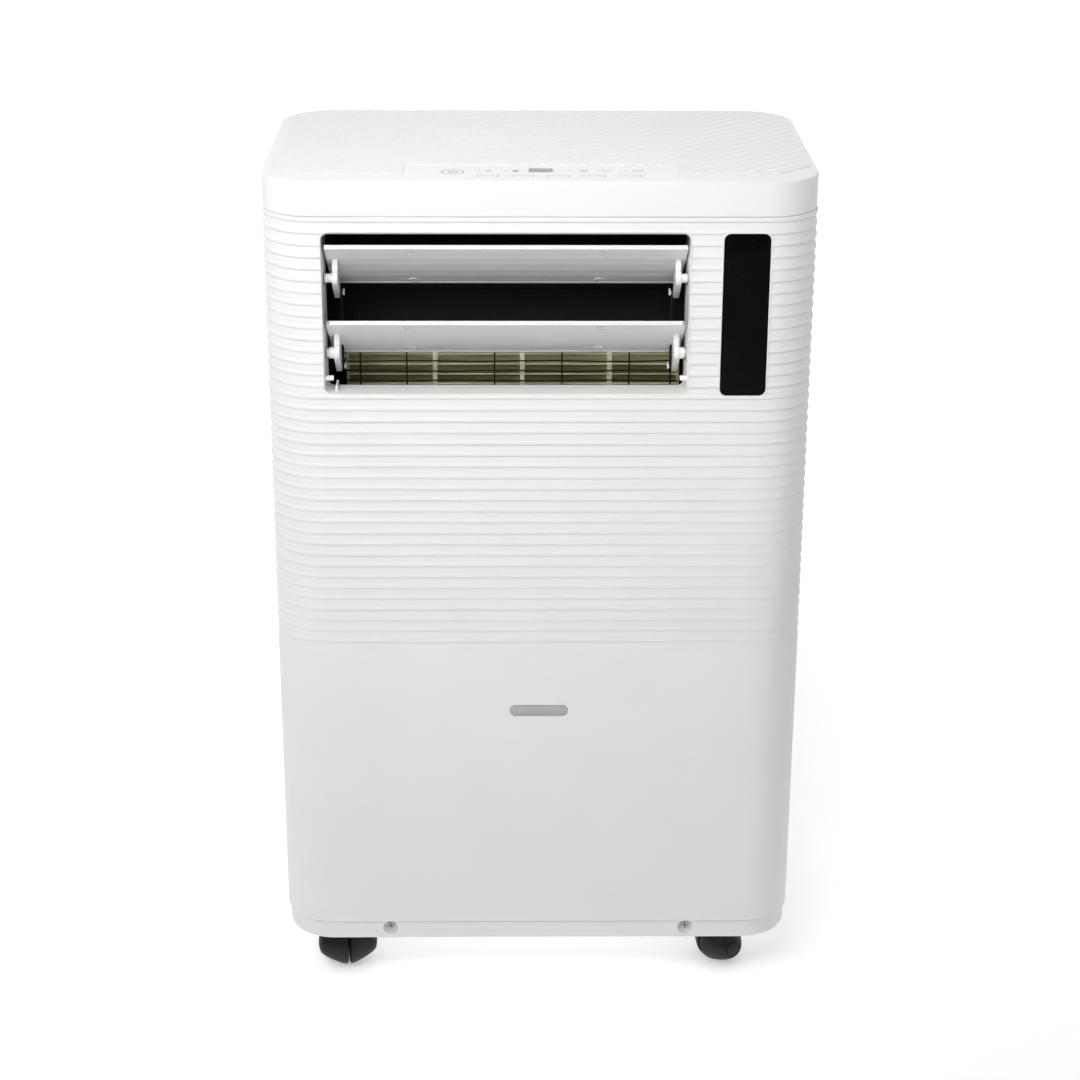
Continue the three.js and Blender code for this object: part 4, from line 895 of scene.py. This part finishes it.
def guard():
    """Upright bars crossed by thin wires that wander a little, inside a thin frame."""
    low, high = extent("outlet_grille")
    y = (low.y + high.y) / 2
    bars = [prism("y", rounded(x - 0.6, x + 0.6, low.z + 0.8, high.z, 0.5, 4), low.y, high.y)
            for x in (-139.1, -103.1, -34.8, 17.7, 70, 102.2)]
    bars.append(slab((low.x, high.x), (low.y, high.y), (low.z, low.z + 1.6)))
    bars += [slab((x, x + 1.6), (low.y, high.y), (low.z, high.z)) for x in (low.x, high.x - 1.6)]
    bars = [eased(bar, 0.3) for bar in bars]
    wires = []
    for i in range(7):
        z = below(124 + 7.9 * i)
        route = [(x, y, z + 0.35 * math.sin(x / 17 + 1.9 * i))
                 for x in range(int(low.x) + 1, int(high.x), 6)]
        wires.append(tube(route, 0.62, 8))
    make("guard_bars", merge(*bars), "black", "outlet_grille")
    make("guard_wires", merge(*wires), "black")


def fan():
    low, high = extent("fan_wheel")
    place = joint("fan_spin")[1]
    y, z = place.y, place.z
    count, left, right = 36, -151, 110
    outer, inner, thick, cuts = 45.8, 32, 0.55, 6
    blades = []
    for i in range(count):
        curve = []
        for k in range(cuts + 1):
            radius = inner + (outer - inner) * k / cuts
            bend = TURN * i / count + 0.42 * (1 - k / cuts) ** 1.4
            curve.append(polar(0, 0, radius, bend))
        normals = [Vector((b[1] - a[1], a[0] - b[0])).normalized() for a, b in zip(curve, curve[1:])]
        normals.append(normals[-1])
        faces = [[(y + a + n.x * off, z + b + n.y * off) for (a, b), n in zip(curve, normals)]
                 for off in (thick, -thick)]
        blades.append(prism("x", faces[0] + faces[1][::-1], left, right))
    make("fan_blades", merge(*blades), "fan", "fan_wheel", body="fan")
    discs = []
    for x in (left, -82, -13, 56, right):
        half = 1.2 if x in (left, right) else 1.9
        notched = []
        for i in range(count * 2):
            turn = TURN * (i + 0.5) / (count * 2)
            notched.append(polar(y, z, 46.6 if i % 2 else 45.7, turn))
        discs.append(eased(prism("x", notched, x - half, x + half), 0.3))
    # The middle discs are painted paler for the light on their rims; the end discs keep the fan's own
    # colour.
    make("fan_discs", merge(*discs[1:4]), "disc", body="fan")
    make("fan_end_discs", merge(discs[0], discs[4]), "fan", body="fan")
    shaft = [lathe("x", (y, z), [(3.4, low.x), (4, low.x + 0.6), (4, left - 1)], 24),
             lathe("x", (y, z), [(4, right + 1), (4, high.x - 0.6), (3.4, high.x)], 24)]
    make("fan_shaft", merge(*shaft), "steel", body="fan")


def fan_fittings():
    place = joint("fan_spin")[1]
    y, z = place.y, place.z
    low, high = extent("fan_scroll")
    outside = arc(y, z, 54, 200, 335, 40)
    wall = outside + arc(y, z, 52, 335, 200, 40)
    cheek = outside + [(y + 14, z + 12), (y - 14, z + 12)]
    parts = [prism("x", wall, low.x, high.x)]
    for x in (low.x, high.x - 2):
        hole = lathe("x", (y, z), [(6, x - 1), (6, x + 3)], 32)
        parts.append(carved(prism("x", cheek, x, x + 2), hole))
    make("fan_scroll_shell", merge(*[eased(part, 0.3) for part in parts]), "black", "fan_scroll")
    low, high = extent("fan_bearing")
    start, end = low.x, high.x
    ring = [(4.3, start), (8.6, start), (9, start + 0.4), (9, start + 2.4), (8.3, start + 2.9),
            (8.3, end - 2.9), (9, end - 2.4), (9, end - 0.4), (8.6, end), (4.3, end)]
    make("fan_bearing_bush", lathe("x", (y, z), ring, 40, closed=True), "rubber", "fan_bearing")
    low, high = extent("fan_motor")
    start, end = low.x, high.x
    can = [(4.5, start), (11.4, start), (12, start + 0.6), (12, start + 5), (35, start + 6.8),
           (37.4, start + 9), (38, start + 12), (38, end - 7), (37.2, end - 4), (34.5, end - 1), (31, end),
           (14, end), (13, end - 1.5), (0.01, end - 1.5), (0.01, start + 12), (4.5, start + 12)]
    make("fan_motor_can", lathe("x", (y, z), can, closed=True), "steel", "fan_motor")
    rings = [framing({"left": -r, "right": r, "top": r, "bottom": -r, "radius": r - 0.01},
                     [(-0.4, x), (0.1, x + 0.5), (0.1, x + 1.5), (-0.4, x + 2)], 12)
             for r, x in ((37.6, start + 17), (37.6, start + 33))]
    turned = [([(depth, y + a, z + b) for a, depth, b in shape[0]], shape[1]) for shape in rings]
    make("fan_motor_beads", merge(*turned), "steel")


# ---- coils and tray ----
def coil(prefix, count):
    """Thin upright fins on level tubes joined by return bends."""
    low, high = extent(f"{prefix}_fins")
    step = (high.z - low.z) / count
    heights = [low.z + step * (i + 0.5) for i in range(count)]
    y = (low.y + high.y) / 2
    pitch = 2.5
    places = [low.x + i * pitch for i in range(1, int((high.x - low.x) / pitch))]
    fins = [slab((x - 0.22, x + 0.22), (low.y + 0.3, high.y - 0.3), (low.z + 0.3, high.z - 0.3))
            for x in places]
    make(f"{prefix}_fin_pack", merge(*fins), "foil", f"{prefix}_fins")
    ends = [eased(slab((x, x + 1), (low.y, high.y), (low.z, high.z)), 0.3) for x in (low.x, high.x - 1)]
    make(f"{prefix}_end_plates", merge(*ends), "steel")
    low, high = extent(f"{prefix}_tubes")
    x0, x1, radius = low.x + 9, high.x - 9, 3.4
    shapes = [lathe("x", (y, z), [(radius, x0), (radius, x1)], 20) for z in heights]
    turns = [math.radians(-90 + 180 * k / 14) for k in range(15)]
    for i, (a, b) in enumerate(zip(heights, heights[1:])):
        x, out = (x0 + 0.6, -1) if i % 2 else (x1 - 0.6, 1)
        reach, middle = (b - a) / 2, (a + b) / 2
        bend = [(x + out * 9 * math.cos(t), y, middle + reach * math.sin(t)) for t in turns]
        shapes.append(tube(bend, radius, 20))
    make(f"{prefix}_tube_run", merge(*shapes), "copper", f"{prefix}_tubes")


def drip_tray():
    box = extent("drip_tray")
    low, high = box
    tray = carved(
        prism("z", outline_of(box, 28, "z", steps=10), low.z, high.z),
        prism("z", outline_of(box, 26, "z", -2, 10), low.z + 2, high.z + 1),
        slab((-198, -174), (186, 236), (low.z - 1, high.z)))
    make("drip_tray_pan", eased(tray, 0.5), "pale", "drip_tray")
    ribs = [slab((-190, 190), (y - 0.7, y + 0.7), (low.z + 1.8, low.z + 4)) for y in (90, 130, 170)]
    make("drip_tray_ribs", merge(*ribs), "pale")


# ---- lower half ----
def blower():
    """Scroll casing with a duct to the hose collar, its vaned wheel, and the motor in front."""
    place = joint("blower_spin")[1]
    x, z = place.x, place.z
    hose = centre("hose_collar")
    front, back = 130, 196

    def spiral(grow, steps=64):
        radii = [70 + 22 * i / steps + grow for i in range(steps + 1)]
        turns = [TURN * i / steps for i in range(steps + 1)]
        return [polar(x, z, r, t) for r, t in zip(radii, turns)]

    def body(grow):
        start = front - grow
        neck = slab((x + 20 - grow, x + 88 + grow), (start, back + grow), (z, 270))
        head = slab((hose[0] - 64 - grow, hose[0] + 64 + grow), (start, 246 + grow),
                    (264 - grow, 392 + grow))
        return prism("y", spiral(grow), start, back + grow), neck, head

    casing, *ducts = body(2)
    shell = carved(
        carved(casing, *ducts, operation="UNION"), *body(0),
        lathe("y", (x, z), [(8, 120), (8, 132)], 40),
        lathe("y", (x, z), [(50, 194), (50, 202)], 72),
        lathe("y", hose, [(61, 244), (61, 252)], 72))
    make("blower_casing", eased(shell, 0.5, angle=40), "pale", "blower_housing")
    mouth = back + 1.9
    ring = [(50, mouth), (50, mouth + 1.3), (52.5, mouth + 1.3), (53, mouth)]
    screw = [(3, mouth), (3, mouth + 1.3), (2.2, mouth + 1.9)]
    screws = [lathe("y", polar(x, z, 78, t), screw, 20) for t in (0.9, 2.4, 3.9, 5.4)]
    make("blower_casing_mouth", merge(lathe("y", (x, z), ring, 72), *screws), "pale")
    wheel = [lathe("y", (x, z), [(61.6, 136), (61.6, 138.5)], 72),
             lathe("y", (x, z), [(50, 186), (61.6, 186), (61.6, 189), (50, 189)], 72, closed=True),
             lathe("y", (x, z), [(9, 138), (9, 159), (8, 160)], 32)]
    vanes, count, cuts = [], 32, 5
    for i in range(count):
        outline = []
        for sign, steps in ((1, range(cuts + 1)), (-1, range(cuts, -1, -1))):
            for k in steps:
                radius = 51 + 10 * k / cuts
                turn = TURN * i / count + 0.16 * (1 - k / cuts) ** 1.4 + sign * 0.5 / radius
                outline.append(polar(x, z, radius, turn))
        vanes.append(prism("y", outline, 138, 186.5))
    make("blower_vanes", merge(*wheel, *vanes), "black", "blower_wheel", body="blower")
    make("blower_shaft", lathe("y", (x, z), [(3.5, 112), (4, 112.6), (4, 137)], 24), "steel", body="blower")
    can = [(4.5, 110), (4.5, 127), (11.4, 127), (12, 126.4), (12, 121.2), (33, 119.4), (35.4, 117),
           (36, 114), (36, 79), (35, 75.4), (32, 72.4), (30, 72), (0.01, 72), (0.01, 110)]
    make("blower_motor_can", lathe("y", (x, z), can, closed=True), "steel", "blower_motor")


def compressor():
    """Welded can on a three-cornered plate with rubber feet. Returns the middle of its top."""
    feet = [f"compressor_foot_{i}" for i in (1, 2, 3)]
    spots = [centre(node, "z") for node in feet]
    x, y = (sum(place[i] for place in spots) / 3 for i in (0, 1))
    plate = extent("compressor")[0].z
    spread = 1.0664
    outline = []
    for fx, fy in spots:
        dx, dy = (fx - x) * spread, (fy - y) * spread
        turn = math.degrees(math.atan2(dy, dx))
        outline += arc(x + dx, y + dy, 10, turn - 60, turn + 60)
    make("compressor_base_plate", eased(prism("z", outline, plate, plate + 3), 0.5), "enamel")
    profile = [(40, 2.5), (48, 6), (52, 12), (53.6, 18), (54, 22), (54, 118), (54, 119), (54, 122),
               (54, 123), (53.6, 148), (52, 158), (48, 167), (40, 174.5), (28, 180), (14, 183), (0.01, 184)]
    can = [(radius, plate + height) for radius, height in profile]
    make("compressor_can", lathe("z", (x, y), can, 64), "enamel", "compressor")
    profile = [(3, 0), (9.6, 0), (10, 0.5), (10, 4.6), (7.2, 7), (7.2, 9), (10, 11.4), (10, 15.5),
               (9.6, 16), (3, 16)]
    for node, place in zip(feet, spots):
        foot = [(radius, extent(node)[0].z + height) for radius, height in profile]
        make(f"{node}_bush", lathe("z", place, foot, 40, closed=True), "rubber", node)
    return x, y, can[-1][1]


def pipes(x, y, top):
    """Copper lines, one of them from the top of the compressor to the evaporator."""
    suction = [(x - 20, y, top - 6), (x - 24, y, top + 20), (x - 50, y + 20, 320), (-184, 190, 350),
               (-186, 212, 380), (-186, 212, 430), (-176, 211, 470), (-166, 211, 478)]
    make("suction_line", tube(smooth_route(suction), 3.9, 20), "copper", "suction_pipe")
    liquid = [(-125, 220, 234), (-140, 222, 240), (-160, 224, 270), (-178, 226, 330), (-180, 226, 390),
              (-180, 224, 430), (-172, 216, 442), (-166, 211, 444)]
    make("liquid_line", tube(smooth_route(liquid), 1.95, 16), "copper", "liquid_pipe")


def controls():
    """Open box with the power board and the large parts on it."""
    box = extent("control_box")
    low, high = box
    hollow = slab((low.x + 2, high.x - 2), (low.y + 2, high.y + 1), (low.z + 2, high.z - 2))
    make("control_box_shell", eased(carved(block(box), hollow), 0.6), "pale", "control_box")
    low, high = extent("power_board")
    board = eased(slab((low.x, high.x), (17, 18.6), (low.z, high.z)), 0.25)
    make("power_board_laminate", board, "board", "power_board")
    parts = [
        ((-130, -95), (18, 34), (330, 365)),
        ((-126, -99), (34, 42), (336, 359)),
        ((-70, -56), (18, 36), (300, 318)),
        ((-70, -56), (18, 36), (321, 340)),
        ((-53, -40), (18, 30), (300, 340)),
    ]
    make("power_board_blocks", merge(*[eased(slab(*part), 0.6) for part in parts]), "black")
    cans = [lathe("y", (cx, cz), [(r, 18.2), (r, top - 0.6), (r - 0.6, top)], 32)
            for cx, cz, r, top in ((-160, 322, 8, 42), (-164, 306, 5, 34), (-153, 306, 5, 34))]
    make("power_board_cans", merge(*cans), "steel")


# ---- rear ----
def slatted(node, slats, uprights, name):
    """Rounded frame with sloping slats between its sides and a few uprights behind them."""
    box, border = extent(node), 8
    low, high = box
    rim = carved(prism("y", outline_of(box, 3), low.y, high.y),
                 prism("y", outline_of(box, 3, grow=-border), low.y - 1, high.y + 1))
    parts = [eased(rim, 0.5)]
    for i in range(slats):
        z = low.z + border + (high.z - low.z - 2 * border) / (slats + 1) * (i + 1)
        section = [(low.y + 0.4, z - 2.9), (high.y - 0.6, z - 0.4), (high.y, z + 0.4), (high.y, z + 2.2),
                   (high.y - 0.6, z + 2.9), (low.y + 0.4, z + 0.4)]
        parts.append(prism("x", section, low.x + border - 1, high.x - border + 1))
    for i in range(uprights):
        x = low.x + border + (high.x - low.x - 2 * border) * (i + 1) / (uprights + 1)
        parts.append(slab((x - 2, x + 2), (low.y, high.y - 0.5), (low.z + border - 1, high.z - border + 1)))
    body = "intake_panel" if node == "intake_grille" else "cabinet"
    make(name, merge(*parts), "white", node, body=body)


def intake_filter():
    """Filter behind the intake panel, and the panel's grip."""
    low, high = extent("intake_grille")
    lip = slab((-20, 20), (high.y - 0.8, high.y - 0.01), (high.z - 6, high.z - 3.6))
    make("intake_panel_grip", eased(lip, 0.3), "pale", body="intake_panel")
    box = extent("intake_filter")
    low, high = box
    rim = carved(block(box), block(box, -6, 1, -6))
    bars = [slab((x - 2, x + 2), (low.y, high.y), (low.z + 3, high.z - 3)) for x in (-50, 50)]
    step = (high.z - low.z) / 4
    bars += [slab((low.x + 3, high.x - 3), (low.y + 0.1, high.y - 0.1), (z - 2, z + 2))
             for z in (low.z + step, low.z + 2 * step, low.z + 3 * step)]
    frame_shape = merge(*[eased(part, 0.3) for part in [rim, *bars]])
    make("filter_frame", frame_shape, "black", "intake_filter", body="intake_panel")
    make("filter_weave_sheet", block(box, -5, -0.9, -5), "mesh", body="intake_panel")


def hose_collar():
    low, high = extent("hose_collar")
    start, face, end = low.y, low.y + 13, high.y
    collar = [(61, start), (65, start), (65, face), (73.4, face), (74, face + 0.6), (74, face + 1.9),
              (73.2, face + 2.5), (66, face + 2.5), (65, face + 3.2), (65, end - 0.8), (64.3, end),
              (61.6, end), (61, end - 0.6)]
    ring = lathe("y", centre("hose_collar"), collar, 96, closed=True)
    make("hose_collar_ring", ring, "white", "hose_collar")


def drain_plugs():
    for node in ("drain_plug_middle", "drain_plug_bottom"):
        low, high = extent(node)
        x, z = centre(node)
        top = high.y
        plug = [(4, low.y), (4.6, low.y + 1), (4.6, top - 5.6), (8, top - 5.5), (8, top - 1.8),
                (7.4, top - 0.5), (6.6, top - 0.1), (4, top - 0.1), (3.4, top - 1.2), (0.01, top - 1.2)]
        make(f"{node}_cap", lathe("y", (x, z), plug), "rubber", node, body=node)
        pull = eased(slab((x - 3, x + 3), (top - 1.6, top), (z - 0.8, z + 0.8)), 0.3)
        make(f"{node}_pull", pull, "rubber", body=node)


def cord_gland():
    """Flanged bush with a grooved neck."""
    low, high = extent("cord_gland")
    start, end = low.y, high.y
    gland = [(3.6, start), (6, start), (6, end - 8.7), (9.6, end - 8.7), (10, end - 8.2), (10, end - 6.9),
             (9.4, end - 6.4), (7.2, end - 6.2)]
    groove = [(7.2, -5.6), (6.4, -5.2), (6.4, -4.4), (7, -4)]
    gland += [(radius, end + min(height + 2 * k, -0.2)) for k in range(3) for radius, height in groove]
    gland += [(5.4, end), (3.6, end)]
    bush = lathe("y", centre("cord_gland"), gland, closed=True)
    make("cord_gland_bush", bush, "black", "cord_gland")


def handles():
    for node, side in (("handle_cup_left", -1), ("handle_cup_right", 1)):
        box = extent(node)
        low, high = box
        outer = low.x if side < 0 else high.x
        deep = high.x - low.x

        def span(near, far):
            return sorted((outer - side * near, outer - side * far))

        cup = carved(prism("x", outline_of(box, 5, "x"), low.x, high.x),
                     prism("x", outline_of(box, 4, "x", -2), *span(-2, deep - 2)))
        make(f"{node}_liner", eased(cup, 0.5), "pale", node)
        grip = eased(slab(span(1, deep - 2), (low.y + 3, high.y - 3), (high.z - 3, high.z - 1.9)), 0.3)
        make(f"{node}_grip", grip, "pale")


# ---- front trim ----
def front_trim():
    pane = prism("y", opening(WINDOW, -0.1), extent("indicator_window")[0].y, WALL + GAP + 0.8)
    make("window_pane", eased(pane, 0.35), "glass", "indicator_window")
    box = extent("blank_badge")
    low, high = box
    radius = (high.z - low.z) / 2
    face = low.y
    levels = [(0, high.y), (0, face + 0.45), (0.12, face + 0.15), (0.5, face), (1.1, face),
              (1.4, face + 0.15)]
    badge = loft([
        [(a, depth, b) for a, b in outline_of(box, radius - inset - 0.02, grow=-inset, steps=16)]
        for inset, depth in levels
    ])
    make("badge_blank", badge, "badge", "blank_badge")


# ---- casters ----
def casters():
    """Twin-wheel casters, drawn with the axle along X behind the swivel and turned to where they stand."""
    trail, radius, half, slot = 9, 19, 25, 0.9
    axle = (-trail, radius)
    for name in CASTERS:
        hood, wheels = f"caster_hood_{name}", f"caster_wheels_{name}"
        axis = joint(f"wheels_{name}_roll")[0]["axis"]
        x, y = spot(name)
        place = Matrix.Translation((x, y, 0)) @ Matrix.Rotation(math.atan2(axis[1], axis[0]), 4, "Z")
        crown = arc(*axle, 22.2, 28, 115, 24) + arc(*axle, 20.4, 115, 28, 24)
        web = arc(*axle, 21.4, 34, 110, 20) + arc(*axle, 7, 214, 326, 10)
        seat = extent(hood)[1].z
        shapes = [eased(prism("x", crown, -13, 13), 0.5),
                  carved(prism("x", web, -0.6, 0.6), lathe("x", axle, [(3.4, -3), (3.4, 3)], 32)),
                  lathe("z", (0, 0), [(12.6, 39), (14, 40), (14, BASE - 1), (13.2, BASE - 0.5)], 48),
                  lathe("z", (0, 0), [(4, BASE - 2), (4, seat - 0.6), (3.4, seat)], 32)]
        make(f"{hood}_cowl", moved(merge(*shapes), place), "black", hood, body=f"caster_{name}")
        dome = [(radius - 0.1, 3.4), (18.3, 5.6), (16.9, 9), (15.1, 13), (13, 17), (11, 20), (9, 22.4),
                (7.4, 23.6)]
        tread = [(3, slot), (18, slot), (18.7, slot + 0.4), (radius, slot + 1.2)] + dome
        tread += [(7, 23.7), (6.7, 23.1), (6.2, 23.1), (5.9, 24), (3.7, half - 0.5), (0.01, half)]
        rims = [lathe("x", axle, [(r, side * h) for r, h in tread], 72) for side in (-1, 1)]
        rod = lathe("x", axle, [(2.9, -2), (2.9, 2)], 24)
        make(f"{wheels}_rims", moved(merge(*rims), place), "wheel", wheels, body=f"wheels_{name}")
        make(f"{wheels}_axle", moved(rod, place), "steel", body=f"wheels_{name}")


# ---- setting ----
def studio():
    """Floor running up into a backdrop, a soft key light from the upper left, and the camera, in metres."""
    ground = finish("pale_ground", (0.93, 0.93, 0.93), 0.9, drift=0.005, drift_size=900, grain=0.02,
                    Emission_Color=(1, 1, 1, 1), Specular_IOR_Level=0)
    tree = ground.node_tree
    split = tree.nodes.new("ShaderNodeSeparateXYZ")
    glow = tree.nodes.new("ShaderNodeMapRange")
    glow.inputs["From Min"].default_value = -0.1
    glow.inputs["From Max"].default_value = 1
    glow.inputs["To Min"].default_value = 0.4
    glow.inputs["To Max"].default_value = 0.62
    tree.links.new(tree.nodes.new("ShaderNodeTexCoord").outputs["Object"], split.inputs["Vector"])
    tree.links.new(split.outputs["Y"], glow.inputs["Value"])
    tree.links.new(glow.outputs["Result"], tree.nodes["Principled BSDF"].inputs["Emission Strength"])
    far, bend = 60, 1.2
    sweep = [(-far, 0), (-0.5, 0)] + arc(1.4, bend, bend, 270, 360, 16) + [(1.4 + bend, 6)]
    mesh = bpy.data.meshes.new("ground")
    mesh.from_pydata([(x, y, z) for y, z in sweep for x in (-far, far)], [],
                     [(2 * i, 2 * i + 1, 2 * i + 3, 2 * i + 2) for i in range(len(sweep) - 1)])
    mesh.shade_smooth()
    mesh.materials.append(ground)
    holder = bpy.data.objects.new("ground", mesh)
    bpy.context.scene.collection.objects.link(holder)

    def light(name, energy, place, aim, **settings):
        data = bpy.data.lights.new(name, "AREA")
        data.energy = energy
        for setting, value in settings.items():
            setattr(data, setting, value)
        lamp = bpy.data.objects.new(name, data)
        lamp.location = place
        lamp.rotation_euler = (Vector(aim) - Vector(place)).to_track_quat("-Z", "Y").to_euler()
        bpy.context.scene.collection.objects.link(lamp)

    light("key_softbox", 11.05, (-0.64, -1.08, 1.52), (0, 0, 0.6), size=0.8)
    light("overhead_softbox", 2.55, (0, -0.2, 2.2), (0, 0, 0.45), size=1.6)
    light("top_spot", 1.25, (-0.3, -1.6, 1.9), (0, 0, 0.7), size=0.6, spread=math.radians(40))
    world = bpy.data.worlds.new("studio_air")
    world.use_nodes = True
    air = world.node_tree.nodes["Background"]
    air.inputs["Color"].default_value = (1, 1, 1, 1)
    air.inputs["Strength"].default_value = 0.13
    bpy.context.scene.world = world
    bpy.context.scene.view_settings.view_transform = "Standard"

    camera = bpy.data.objects.new("photo_view", bpy.data.cameras.new("photo_view"))
    camera.data.lens = 79.75
    camera.data.sensor_width = 36
    camera.location = (-0.024, -1.8603, 1.0812)
    pitch, yaw, roll = 0.3757, 0.0141, 0.0044
    view = (Matrix.Rotation(-yaw, 3, "Z") @ Matrix.Rotation(math.pi / 2 - pitch, 3, "X")
            @ Matrix.Rotation(roll, 3, "Z"))
    camera.rotation_euler = view.to_euler()
    bpy.context.scene.collection.objects.link(camera)
    bpy.context.scene.camera = camera


# ---- assembly ----
front_panel()
rear_shell()
top_cover()
keys()
strip_marks()
base_pan()
base_screws()
louvres()
link_bars()
louvre_motor()
outlet_duct()
guard()
fan()
fan_fittings()
coil("evaporator", 5)
coil("condenser", 5)
drip_tray()
blower()
pipes(*compressor())
controls()
slatted("intake_grille", 12, 1, "intake_panel_slats")
slatted("condenser_grille", 9, 2, "condenser_slats")
intake_filter()
hose_collar()
drain_plugs()
cord_gland()
handles()
front_trim()
casters()
studio()
